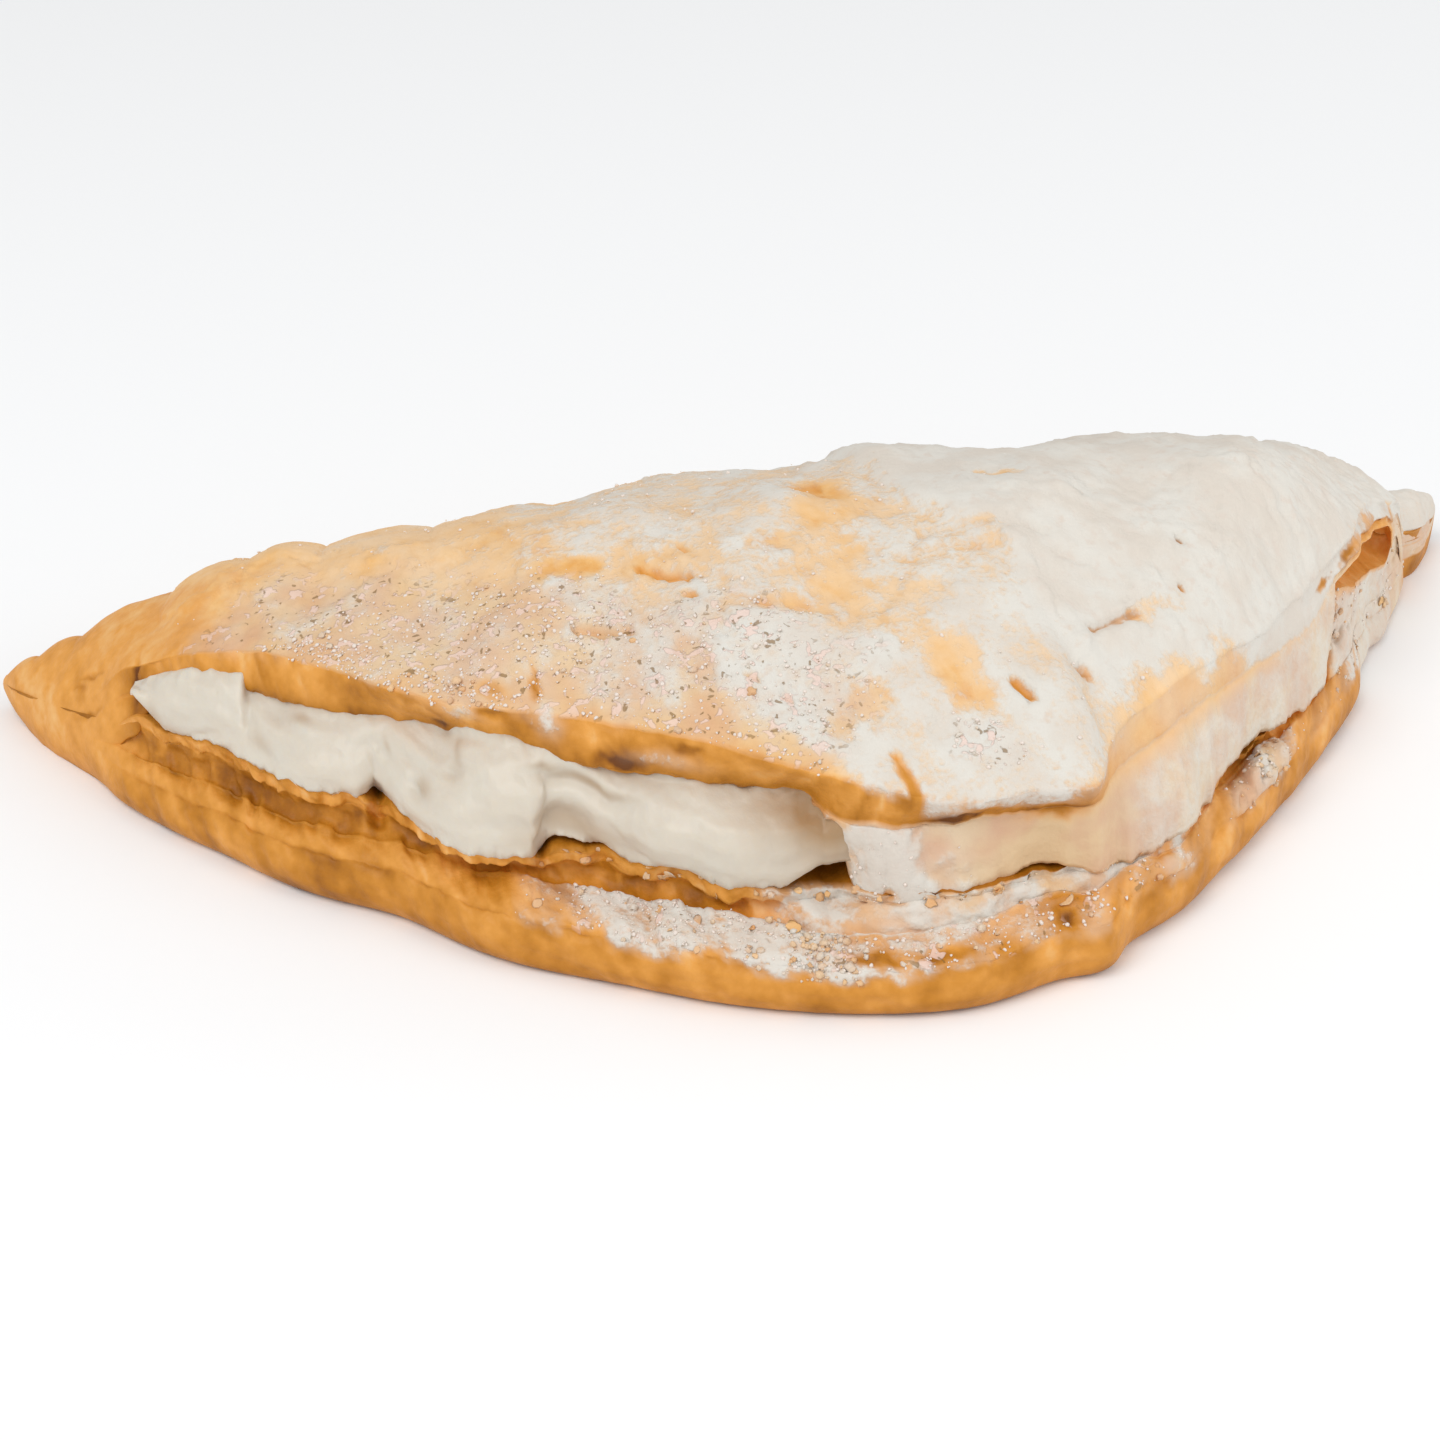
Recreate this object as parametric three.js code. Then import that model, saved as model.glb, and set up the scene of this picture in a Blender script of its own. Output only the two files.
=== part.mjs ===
// Turnover pastry: a square of puff pastry folded corner to corner into a triangle, risen in the oven,
// split open round its front edges and filled with whipped cream. One solid is the pastry and one is
// the cream, which runs from the open edge back towards the fold.
//
// Millimetres, +Z up, standing on z = 0. The fold runs along X at the back (+Y) and the two open edges
// meet at a rounded corner at the front (-Y). The pastry is a row of upright sections: section s starts
// at the share s of the open edge's length and ends at the same share of the fold. In a section, "in"
// is the distance from the open edge towards the fold, and "up" is the height.

import * as THREE from 'three';
import { mergeVertices } from 'three/addons/utils/BufferGeometryUtils.js';

// ---- driving dimensions ----
const FOLD_LENGTH = 165;
const DEPTH = 79;
const SOLE_TO_CROWN = 33;
const FIT_GAP = 0.35;               // air left between the cream and the pastry round it
const CREAM_RANGE = [0.112, 0.474];   // shares of the open edge between which cream shows
const STATIONS = 84;                // sections of the pastry between the two tips
const CREAM_STATIONS = 44;
const TIP_CROWDING = 0.4;           // how much closer the sections stand near the tips

const FOLD_BOW = 2.5;               // how far the middle of the fold has risen outwards

const HALF_FOLD = FOLD_LENGTH / 2;
const LEFT_LEG = { bow: 1.7, bluntness: 1.35 };    // fuller edge with a blunt tip
const RIGHT_LEG = { bow: 1.6, bluntness: 1.0 };    // straighter edge with a sharper tip

// ---- small helpers ----
const clamp01 = (x) => Math.min(1, Math.max(0, x));
const mix = (a, b, t) => a + (b - a) * t;
const smooth = (from, to, x) => {
  const t = clamp01((x - from) / (to - from));
  return t * t * (3 - 2 * t);
};
const bell = (x, middle, width) => Math.exp(-(((x - middle) / width) ** 2));

// A curve through a few knots [x, value] that never swings past them: a cubic between neighbours whose
// slope at each knot is the harmonic mean of the slopes on both sides, or zero at a peak or a dip.
function through(knots) {
  const count = knots.length;
  const rise = (k) => (knots[k + 1][1] - knots[k][1]) / (knots[k + 1][0] - knots[k][0]);
  const slopes = knots.map((_, k) => {
    if (k === 0) return rise(0);
    if (k === count - 1) return rise(count - 2);
    const before = rise(k - 1);
    const after = rise(k);
    return before * after > 0 ? (2 * before * after) / (before + after) : 0;
  });
  return (x) => {
    const inside = Math.min(Math.max(x, knots[0][0]), knots[count - 1][0]);
    const found = knots.findIndex((knot) => knot[0] >= inside);
    const k = Math.max(found, 1) - 1;
    const span = knots[k + 1][0] - knots[k][0];
    const t = (inside - knots[k][0]) / span;
    const startShare = 2 * t ** 3 - 3 * t ** 2 + 1;
    const startSlope = (t ** 3 - 2 * t ** 2 + t) * span * slopes[k];
    const endSlope = (t ** 3 - t ** 2) * span * slopes[k + 1];
    return startShare * knots[k][1] + (1 - startShare) * knots[k + 1][1] + startSlope + endSlope;
  };
}

// Points of a cubic Bezier curve, without its last one, which starts the next stretch.
function bezier(start, pullA, pullB, end, count) {
  return Array.from({ length: count }, (_, k) => {
    const t = k / count;
    const w = [(1 - t) ** 3, 3 * t * (1 - t) ** 2, 3 * t * t * (1 - t), t ** 3];
    const at = (axis) => w[0] * start[axis] + w[1] * pullA[axis] + w[2] * pullB[axis] + w[3] * end[axis];
    return [at(0), at(1)];
  });
}

const line = (start, end, count) => bezier(
  start,
  [mix(start[0], end[0], 1 / 3), mix(start[1], end[1], 1 / 3)],
  [mix(start[0], end[0], 2 / 3), mix(start[1], end[1], 2 / 3)],
  end,
  count,
);

// ---- plan ----
// Dips and swellings of the open edge: [share of the edge, half width, millimetres outwards].
const EDGE_WAVES = [
  [0.45, 0.4, 0.7],
  [0.04, 0.03, 0.4],
  [0.265, 0.035, -1.9],
  [0.18, 0.03, -0.5],
  [0.37, 0.03, -0.6],
  [0.568, 0.014, 1.8],
  [0.62, 0.03, 0.8],
  [0.91, 0.045, -1.2],
  [0.85, 0.02, -1.4],
  [0.872, 0.01, -0.9],
  [0.945, 0.01, -1.2],
];

// The open edge from the left tip round the front corner to the right tip. Each leg bows outwards as a
// superellipse: y = -DEPTH * (1 - |x / half fold| ^ bow) ^ (1 / bluntness).
class OpenEdge extends THREE.Curve {
  getPoint(t, target = new THREE.Vector2()) {
    const across = Math.cos(Math.PI * t);
    const leg = across > 0 ? LEFT_LEG : RIGHT_LEG;
    const reach = (1 - Math.abs(across) ** leg.bow) ** (1 / leg.bluntness);
    return target.set(-HALF_FOLD * across, -DEPTH * reach);
  }
}
const openEdge = new OpenEdge();
openEdge.arcLengthDivisions = 1200;

const edgeWave = (s) => EDGE_WAVES.reduce((sum, [at, width, out]) => sum + out * bell(s, at, width), 0);

// Plan of section s: its start on the open edge, its direction towards the fold, and its length.
function planOf(s) {
  const start = openEdge.getPointAt(s);
  const before = openEdge.getPointAt(Math.max(s - 0.002, 0));
  const after = openEdge.getPointAt(Math.min(s + 0.002, 1));
  const along = after.sub(before).normalize();
  const tipFade = smooth(0, 0.02, s) * smooth(1, 0.98, s);
  start.x += along.y * edgeWave(s) * tipFade;
  start.y -= along.x * edgeWave(s) * tipFade;
  const foldPoint = new THREE.Vector2(mix(-HALF_FOLD, HALF_FOLD, s), FOLD_BOW * Math.sin(Math.PI * s));
  const reach = foldPoint.clone().sub(start);
  const width = reach.length();
  const inwards = width > 1e-6 ? reach.divideScalar(width) : new THREE.Vector2(0, 1);
  return { start, inwards, width };
}

// ---- how the section changes from the left tip (0) to the right tip (1) ----
const crownShare = through([[0, 0.15], [0.05, 0.3], [0.1, 0.46], [0.15, 0.61], [0.2, 0.69], [0.3, 0.81],
  [0.4, 0.94], [0.5, 1], [0.6, 0.96], [0.66, 0.94], [0.76, 0.83], [0.86, 0.6], [0.9, 0.46], [0.94, 0.31], [1, 0.18]]);
const crownIn = through([[0, 0.6], [0.2, 0.6], [0.4, 0.52], [0.5, 0.52], [0.7, 0.42], [0.8, 0.38], [1, 0.5]]);
const shoulderIn = through([[0, 0], [0.1, 1.2], [0.16, 2.3], [0.26, 2.7], [0.32, 5], [0.37, 6.2], [0.42, 6.1],
  [0.455, 4.2], [0.5, 5.5], [0.55, 5.6], [0.6, 2], [0.63, 1.8], [0.68, 3.8], [0.7, 3.8], [0.74, 2.4],
  [0.8, 1.6], [0.83, 1.3], [0.86, 0.8], [0.9, 0.7], [1, 0]]);
const grooveUp = through([[0, 3.5], [0.1, 6.4], [0.2, 7.6], [0.4, 7.7], [0.455, 6.8], [0.55, 7.8], [0.7, 7.2],
  [0.8, 6.6], [0.9, 6], [1, 3.5]]);
const grooveDepth = through([[0, 0], [0.09, 0.4], [0.13, 1.8], [0.4, 2.6], [0.437, 1.8], [0.455, 0.8],
  [0.49, 0.4], [0.575, 0.5], [0.66, 0.6], [0.69, 1.8], [0.74, 1.2], [0.79, 0.1], [1, 0]]);
const crustRise = through([[0, 0.7], [0.1, 1.2], [0.16, 2.5], [0.46, 2.6], [0.51, 2.3], [0.53, 1.8], [0.56, 1.2],
  [0.6, 0.8], [0.782, 0.8], [0.796, 8.4], [0.83, 6], [0.87, 3.8], [0.896, 2.6], [0.91, 4.9],
  [0.93, 4.5], [0.95, 1.4], [1, 0.7]]);
const crustThickness = through([[0, 0.5], [0.2, 0.8], [0.782, 0.8], [0.796, 6], [0.83, 4.5], [0.87, 2.8],
  [0.896, 2], [0.91, 4.2], [0.93, 4], [0.95, 0.9], [1, 0.5]]);
const crustIn = through([[0, 0], [0.1, 1.8], [0.13, 3], [0.157, 3.4], [0.217, 2.6], [0.253, 4.2], [0.292, 1.8],
  [0.332, 4.4], [0.363, 7.2], [0.406, 6.6], [0.43, 6], [0.464, 7.6], [0.5, 5.5], [0.55, 5.6], [0.6, 2],
  [0.63, 1.8], [0.68, 3.8], [0.7, 3.8], [0.74, 2.4], [0.775, 1.4], [0.798, 3.4], [0.83, 2], [0.86, 1],
  [0.9, 0.8], [0.92, 1], [1, 0]]);
const pocketDepth = through([[0, 0.12], [0.1, 0.2], [0.12, 6], [0.15, 16], [0.2, 26], [0.3, 38], [0.42, 48],
  [0.45, 44], [0.475, 28], [0.495, 8], [0.51, 1], [0.53, 1], [0.54, 3], [0.562, 3], [0.575, 0.6], [0.66, 0.6],
  [0.68, 2.5], [0.72, 2.5], [0.74, 0.6], [0.782, 0.6], [0.8, 4], [0.84, 6], [0.885, 5], [0.905, 1], [0.92, 0.4],
  [1, 0.12]]);
const plyIn = through([[0, 0], [0.1, 2.8], [0.13, 5], [0.16, 7.4], [0.22, 9.4], [0.31, 11.4], [0.36, 10.6],
  [0.41, 11.6], [0.45, 11], [0.465, 9], [0.475, 7.8], [0.51, 6.8], [0.55, 5.8], [0.6, 1], [0.626, 0.7],
  [0.681, 3.2], [0.7, 3.2], [0.738, 1], [0.784, 0.6], [0.796, 3.4], [0.83, 1.8], [0.86, 0.8], [0.9, 0.8],
  [0.945, 1.2], [1, 0]]);
const plyUp = through([[0, 4.2], [0.1, 8.6], [0.13, 11.4], [0.16, 14.2], [0.2, 15.6], [0.27, 16.8], [0.31, 17.6],
  [0.45, 17.8], [0.462, 15.6], [0.475, 12], [0.49, 9.8], [0.515, 9.2], [0.552, 9.8], [0.562, 9.6], [0.58, 8.8],
  [0.69, 8.9], [0.784, 7.2], [0.796, 16], [0.83, 16.6], [0.86, 15.4], [0.885, 14], [0.905, 11.2], [0.95, 8],
  [1, 4]]);
const lipIn = through([[0, 0], [0.1, 3.2], [0.14, 5.6], [0.18, 7.5], [0.216, 8], [0.267, 8.8], [0.31, 10.4],
  [0.364, 9.2], [0.41, 10.5], [0.45, 10.1], [0.468, 7.4], [0.53, 6.3], [0.564, 4.5], [0.606, 6.4], [0.65, 6],
  [0.75, 3.8], [0.79, 3.4], [0.83, 2], [0.86, 1.2], [0.9, 1.2], [0.94, 1.4], [1, 0]]);
const lipUp = through([[0, 4.6], [0.1, 10.6], [0.18, 15.2], [0.216, 15.6], [0.267, 16.6], [0.31, 17.4],
  [0.41, 18], [0.486, 16.8], [0.564, 16], [0.65, 17], [0.75, 15.6], [0.8, 17], [0.83, 17.5], [0.86, 16.4],
  [0.885, 15], [0.905, 12.2], [0.95, 8.6], [1, 4.6]]);
const brimIn = through([[0, 0], [0.1, 4.2], [0.159, 7.2], [0.217, 10], [0.268, 6.6], [0.321, 9.2], [0.365, 10.5],
  [0.409, 10.2], [0.448, 8], [0.486, 6.2], [0.526, 4.6], [0.559, 3.2], [0.581, 5.6], [0.606, 7.9], [0.644, 7.8],
  [0.694, 5.7], [0.748, 5.1], [0.79, 4.6], [0.83, 3.4], [0.87, 2.6], [0.9, 2.4], [0.94, 1.5], [1, 0]]);
const brimUp = through([[0, 5], [0.05, 9], [0.1, 12.8], [0.15, 17.6], [0.2, 20.4], [0.25, 21.8], [0.33, 22.9],
  [0.4, 23.2], [0.45, 22], [0.5, 20], [0.56, 19.2], [0.65, 20], [0.75, 18.4], [0.83, 18.8], [0.87, 17.4],
  [0.905, 13.8], [0.95, 10.2], [1, 5]]);

// Rounds both tips off: 0 at a tip and 1 a short way in, as the side of a circle rises.
const tipRounding = (s) => {
  const circle = (share) => Math.sqrt(1 - (1 - clamp01(share)) ** 2);
  return circle(s / 0.045) * circle((1 - s) / 0.02);
};

// Lobes side by side along the back, each a low arch with a sharp dip beside it.
const LOBE_DIPS = [0.005, 0.03, 0.06, 0.125, 0.175, 0.22, 0.285, 0.36, 0.49, 0.635, 0.8, 0.945, 0.998];
const lobeDepth = through([[0, 0.5], [0.05, 1.3], [0.2, 1.2], [0.3, 0.9], [0.4, 0.5], [0.6, 1], [0.9, 1.4],
  [1, 0.6]]);
function lobes(s) {
  const next = LOBE_DIPS.findIndex((dip) => dip > s);
  if (next < 1) return 0;
  const share = (s - LOBE_DIPS[next - 1]) / (LOBE_DIPS[next] - LOBE_DIPS[next - 1]);
  return -lobeDepth(s) * (1 - Math.sin(Math.PI * share) ** 0.6);
}

// The outer ply of the lid ends in a low step that runs from the back towards the front corner: the
// lid is thicker on its right. STEP_LINE holds the plan points of that step.
const STEP_LINE = [[4, -8], [5, -24], [6, -36], [13, -48], [17, -60], [20, -70]];
const STEP_HEIGHT = 1.2;
const stepX = through(STEP_LINE.map(([x, y]) => [-y, x]));
const plyStep = (x, y) => STEP_HEIGHT * smooth(-1.2, 1.8, x - stepX(-y));

// ---- the closed outline of section s, as [in, up] points, the same number in every section ----
function outlineOf(s, width) {
  const small = clamp01(width / 24);          // shrinks fixed lengths near the tips
  const grooveMouth = [shoulderIn(s), grooveUp(s) - 0.6];
  const grooveEnd = shoulderIn(s) + 1.33 * grooveDepth(s);
  const crustTop = [crustIn(s), grooveUp(s) + crustRise(s)];
  const crustUnder = [crustTop[0] + 0.2 * small, crustTop[1] - crustThickness(s)];
  const depth = pocketDepth(s);
  const plyTip = [plyIn(s), Math.max(plyUp(s), crustTop[1] + 0.4)];
  const pocketEnd = [Math.max(crustTop[0], plyTip[0]) + depth, mix(crustTop[1], plyTip[1], 0.5) + depth * 0.06];
  const roof = plyTip[1] + depth * 0.12;
  const floor = crustTop[1] - depth * 0.015;
  const lip = [lipIn(s), Math.max(lipUp(s), plyTip[1] + 0.8)];
  const lipSwell = 0.9 * smooth(0.05, 0.14, s) * small;
  const brim = [brimIn(s), Math.max(brimUp(s), lip[1] + 1)];
  const crown = [Math.max(crownIn(s) * width, brim[0] + 0.2 * width), SOLE_TO_CROWN * crownShare(s)];
  const backNose = [width + 0.8 * small, 0.22 * crown[1] + 1.2];
  const heel = width - 3.5 * small;
  const toe = 1.4 * small;
  const bulge = 1.6 * small;
  const sideTop = [0.25 * small, grooveMouth[1] - 1.6];
  return [
    ...line([heel, 0], [toe, 0], 4),
    ...bezier([toe, 0], [-bulge, 0], [-bulge, sideTop[1] - 0.8], sideTop, 5),
    ...bezier(sideTop, [sideTop[0] + 0.2, grooveMouth[1] - 0.9], [grooveMouth[0] * 0.7, grooveMouth[1] - 0.2],
      grooveMouth, 3),
    ...bezier(grooveMouth, [grooveEnd, grooveMouth[1] + 0.1], [grooveEnd, crustUnder[1] - 0.3], crustUnder, 4),
    crustUnder,
    ...bezier(crustTop, [mix(crustTop[0], pocketEnd[0], 0.5), floor], [pocketEnd[0], floor], pocketEnd, 5),
    ...bezier(pocketEnd, [pocketEnd[0], roof], [mix(plyTip[0], pocketEnd[0], 0.5), roof], plyTip, 5),
    ...bezier(plyTip, [plyTip[0] - 0.3, mix(plyTip[1], lip[1], 0.4)], [mix(plyTip[0], lip[0], 0.8), lip[1] - 0.6],
      [lip[0] + 0.5 * small, lip[1] - 0.3], 4),
    ...bezier(lip, [lip[0] - lipSwell, mix(lip[1], brim[1], 0.3)], [brim[0] - lipSwell, brim[1] - 0.6],
      brim, 3),
    ...bezier(brim, [mix(brim[0], crown[0], 0.22), mix(brim[1], crown[1], 0.42)],
      [mix(brim[0], crown[0], 0.62), crown[1]], crown, 8),
    ...bezier(crown, [mix(crown[0], backNose[0], 0.34), crown[1]], [backNose[0], mix(backNose[1], crown[1], 0.5)],
      backNose, 9),
    ...bezier(backNose, [backNose[0], backNose[1] * 0.45], [mix(heel, backNose[0], 0.7), 0], [heel, 0], 4),
  ];
}

// Low swells of the lid, where its plies have lifted unevenly.
const SWELL_HEIGHT = 0.45;
const swells = (x, y) => SWELL_HEIGHT * (
  Math.sin(x / 6.1 + y / 9.7) * Math.sin(y / 5.3 - x / 14 + 1.1) + 0.6 * Math.sin(x / 3.7 - y / 4.9 + 2)
);

// How much of the relief on the lid reaches a point of section s: none on the sole, the sides and in
// the pocket, all of it on the lid from a little way in from its brim.
const lidShare = (inward, up, s) => smooth(brimUp(s) - 1.5, brimUp(s) + 2, up) * smooth(brimIn(s), brimIn(s) + 8, inward);
const backShare = (inward, width) => smooth(0.25 * width, 0.8 * width, inward);

function placed(s, plan, [inward, up]) {
  const x = plan.start.x + plan.inwards.x * inward;
  const y = plan.start.y + plan.inwards.y * inward;
  const onBack = backShare(inward, plan.width) * smooth(1.5, 8, up);
  const relief = (plyStep(x, y) + swells(x, y)) * lidShare(inward, up, s) + lobes(s) * onBack;
  return new THREE.Vector3(x, y, up + relief);
}

// ---- a closed skin over rings of points, all rings alike, closed by one pole at each end ----
function skinOver(rings, firstPole, lastPole) {
  const count = rings[0].length;
  const positions = [firstPole, ...rings.flat(), lastPole].flatMap((point) => point.toArray());
  const at = (ring, k) => 1 + ring * count + (k % count);
  const lastIndex = 1 + rings.length * count;
  const faces = [];
  for (let k = 0; k < count; k += 1) {
    faces.push(0, at(0, k), at(0, k + 1));
    for (let ring = 0; ring < rings.length - 1; ring += 1) {
      const corners = [at(ring, k), at(ring, k + 1), at(ring + 1, k + 1), at(ring + 1, k)];
      faces.push(corners[0], corners[2], corners[1], corners[0], corners[3], corners[2]);
    }
    faces.push(lastIndex, at(rings.length - 1, k + 1), at(rings.length - 1, k));
  }
  const geometry = new THREE.BufferGeometry();
  geometry.setAttribute('position', new THREE.Float32BufferAttribute(positions, 3));
  geometry.setIndex(faces);
  return mergeVertices(geometry);
}

// ---- pastry ----
const stationShare = (k) => {
  const t = (k + 1) / (STATIONS + 1);
  return t - (TIP_CROWDING * Math.sin(2 * Math.PI * t)) / (2 * Math.PI);
};

function pastryRing(s) {
  const plan = planOf(s);
  const round = tipRounding(s);
  const middle = 4;                      // height at which the tips close
  return outlineOf(s, plan.width).map(([inward, up]) => {
    const point = placed(s, plan, [inward, up]);
    point.z = mix(middle, point.z, round);
    return point;
  });
}

function makePastry() {
  const rings = Array.from({ length: STATIONS }, (_, k) => pastryRing(stationShare(k)));
  const material = new THREE.MeshStandardMaterial({ color: 0xdca35c, roughness: 0.7, metalness: 0 });
  const leftPole = new THREE.Vector3(-HALF_FOLD, 0, 4);
  const rightPole = new THREE.Vector3(HALF_FOLD, 0, 4);
  const mesh = new THREE.Mesh(skinOver(rings, leftPole, rightPole), material);
  mesh.name = 'pastry';
  return mesh;
}

// ---- cream ----
// Spooned in as separate lumps: each swells out of the pocket between two dips.
const CREAM_DIPS = [CREAM_RANGE[0], 0.19, 0.348, CREAM_RANGE[1]];
const CREAM_SWELL = 2.6;
const CREAM_SAG = 1.3;              // how far the last lump has sunk from the ply above it
function creamSwell(s) {
  const next = CREAM_DIPS.findIndex((dip) => dip > s);
  if (next < 1) return 0;
  const share = (s - CREAM_DIPS[next - 1]) / (CREAM_DIPS[next] - CREAM_DIPS[next - 1]);
  return CREAM_SWELL * Math.sin(Math.PI * share) ** 0.5;
}

function creamOutline(s, share) {
  const crust = [crustIn(s), grooveUp(s) + crustRise(s)];
  const ply = [plyIn(s), Math.max(plyUp(s), crust[1] + 0.4)];
  const depth = Math.max(pocketDepth(s) * 0.9 - 2.5, 0.4);
  const end = [Math.max(crust[0], ply[0]) + depth, mix(crust[1], ply[1], 0.5) + depth * 0.06];
  const low = [crust[0] + 0.6, crust[1] + FIT_GAP];
  const high = [ply[0] + 0.6, ply[1] - FIT_GAP - CREAM_SAG * smooth(0.43, 0.455, s)];
  const face = creamSwell(s) * share;
  const roof = high[1] + depth * 0.12 - 0.3;
  const floor = crust[1] + FIT_GAP + 0.3;
  return [
    ...bezier(low, [low[0] - 1 - face * 1.3, low[1] + 0.6], [high[0] - 1 - face, high[1]], high, 8),
    ...bezier(high, [mix(high[0], end[0], 0.5), roof], [end[0], roof - 0.4], end, 7),
    ...bezier(end, [end[0], floor + 0.4], [mix(low[0], end[0], 0.5), floor], low, 7),
  ];
}

function makeCream() {
  const [first, last] = CREAM_RANGE;
  const shareAt = (k) => mix(first, last, (k + 1) / (CREAM_STATIONS + 1));
  const rings = Array.from({ length: CREAM_STATIONS }, (_, k) => {
    const s = shareAt(k);
    const plan = planOf(s);
    const t = (s - first) / (last - first);
    const share = Math.sqrt(1 - (1 - clamp01(t / 0.08)) ** 2) * Math.sqrt(1 - (1 - clamp01((1 - t) / 0.06)) ** 2);
    return creamOutline(s, share).map((point) => placed(s, plan, point));
  });
  const middleOf = (ring) => ring.reduce((sum, p) => sum.add(p), new THREE.Vector3()).divideScalar(ring.length);
  const material = new THREE.MeshStandardMaterial({ color: 0xefe9dc, roughness: 0.45, metalness: 0 });
  const skin = skinOver(rings, middleOf(rings[0]), middleOf(rings[rings.length - 1]));
  const mesh = new THREE.Mesh(skin, material);
  mesh.name = 'cream';
  return mesh;
}

const group = new THREE.Group();
group.add(makePastry(), makeCream());

// The origin is the middle of the underside of the whole.
const box = new THREE.Box3().setFromObject(group);
group.position.set(-(box.min.x + box.max.x) / 2, -(box.min.y + box.max.y) / 2, -box.min.z);

export default group;
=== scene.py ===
"""Turnover pastry: the baked plies, the whipped cream, the icing sugar, the loose flakes and the crumbs.

Shapes are worked out in millimetres and written in metres. The pastry is a row of upright sections:
section s starts at the share s of the open edge's length, counted from the left tip round the front
corner to the right tip, and ends at the same share of the fold. In a section, "in" is the distance from
the open edge towards the fold and "up" is the height.

Every point of a pastry mesh carries four numbers that its material reads: toast, how brown it is, which
also holds painted shade in hollows, pits, the groove and under the lip; sugar, how much icing sugar lies
on it; inner, how far it is the pale crumb of an inner ply; and speck, how dotted it is. A point of the
cream carries stain, how much painted shade darkens it where the lip overhangs it and in its creases.
"""
import math
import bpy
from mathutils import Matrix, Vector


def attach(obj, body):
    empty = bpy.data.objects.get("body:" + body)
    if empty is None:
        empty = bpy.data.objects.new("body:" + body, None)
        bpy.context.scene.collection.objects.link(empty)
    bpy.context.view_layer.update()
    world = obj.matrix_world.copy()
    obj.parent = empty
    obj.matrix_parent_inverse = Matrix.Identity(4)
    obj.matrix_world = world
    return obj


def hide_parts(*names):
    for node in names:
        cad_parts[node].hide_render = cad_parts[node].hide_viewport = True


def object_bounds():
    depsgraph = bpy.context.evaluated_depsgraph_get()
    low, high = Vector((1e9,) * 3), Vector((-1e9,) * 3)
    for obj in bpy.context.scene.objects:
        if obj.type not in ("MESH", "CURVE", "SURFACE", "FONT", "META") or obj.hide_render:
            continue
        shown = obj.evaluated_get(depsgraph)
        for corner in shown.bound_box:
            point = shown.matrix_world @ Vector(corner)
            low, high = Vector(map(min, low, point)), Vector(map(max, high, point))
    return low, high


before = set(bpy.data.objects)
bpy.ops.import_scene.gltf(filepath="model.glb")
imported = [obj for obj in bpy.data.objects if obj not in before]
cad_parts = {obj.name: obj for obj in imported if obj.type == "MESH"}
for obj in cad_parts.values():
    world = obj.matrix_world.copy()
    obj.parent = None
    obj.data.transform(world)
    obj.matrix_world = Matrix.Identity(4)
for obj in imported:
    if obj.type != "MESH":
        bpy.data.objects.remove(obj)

from types import SimpleNamespace

import bpy
import numpy as np

cad_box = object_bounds()
MM = 0.001

# ---- driving dimensions, in millimetres ----
FOLD_LENGTH = (cad_box[1][0] - cad_box[0][0]) / MM
DEPTH = 79.0
SOLE_TO_CROWN = 33.0
FOLD_BOW = 2.5
BACK_NOSE = 0.8
FOLD_Y = cad_box[1][1] / MM - FOLD_BOW - BACK_NOSE    # the fold's line in the frame
HALF_FOLD = FOLD_LENGTH / 2
LEFT_LEG = (1.7, 1.35)       # bow and bluntness of the open edge on the left
RIGHT_LEG = (1.6, 1.0)
TIP_HEIGHTS = (2.8, 4.0)     # heights at which the left and the right tip close

TIP_REACH = 0.9              # how far the left tip's rounded nose reaches past the fold's end
TIPS = [(-HALF_FOLD - TIP_REACH, 0, TIP_HEIGHTS[0]), (HALF_FOLD, 0, TIP_HEIGHTS[1])]

BASE_STATIONS = 800
LID_STATIONS = 690
CREAM_STATIONS = 520


# ---- small helpers ----
def clamp01(x):
    """x, held between 0 and 1."""
    return np.clip(x, 0.0, 1.0)


def mix(a, b, t):
    """a at t = 0, b at t = 1, and a straight line between them."""
    return a + (b - a) * t


def smooth(start, end, x):
    """0 before start, 1 after end, and an S-shaped cubic between them."""
    t = clamp01((x - start) / (end - start))
    return t * t * (3 - 2 * t)


def bell(x, middle, width):
    """1 at the middle, and exp(-1) at the width from it on both sides."""
    return np.exp(-(((x - middle) / width) ** 2))


def through(knots):
    """A curve through knots (x, value) that never swings past them: a cubic between neighbours whose slope
    at a knot is the harmonic mean of the slopes on both sides, or zero at a peak or a dip."""
    x, value = np.array(knots, float).T
    rise = np.diff(value) / np.diff(x)
    before, after = rise[:-1], rise[1:]
    total = np.where(before * after > 0, before + after, 1.0)
    inner = np.where(before * after > 0, 2 * before * after / total, 0.0)
    slope = np.concatenate([rise[:1], inner, rise[-1:]])

    def curve(at):
        inside = np.clip(at, x[0], x[-1])
        k = np.clip(np.searchsorted(x, inside) - 1, 0, len(x) - 2)
        span = x[k + 1] - x[k]
        t = (inside - x[k]) / span
        stay = 2 * t**3 - 3 * t**2 + 1
        lead = (t**3 - 2 * t**2 + t) * span * slope[k]
        land = (t**3 - t**2) * span * slope[k + 1]
        return stay * value[k] + (1 - stay) * value[k + 1] + lead + land

    return curve


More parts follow.
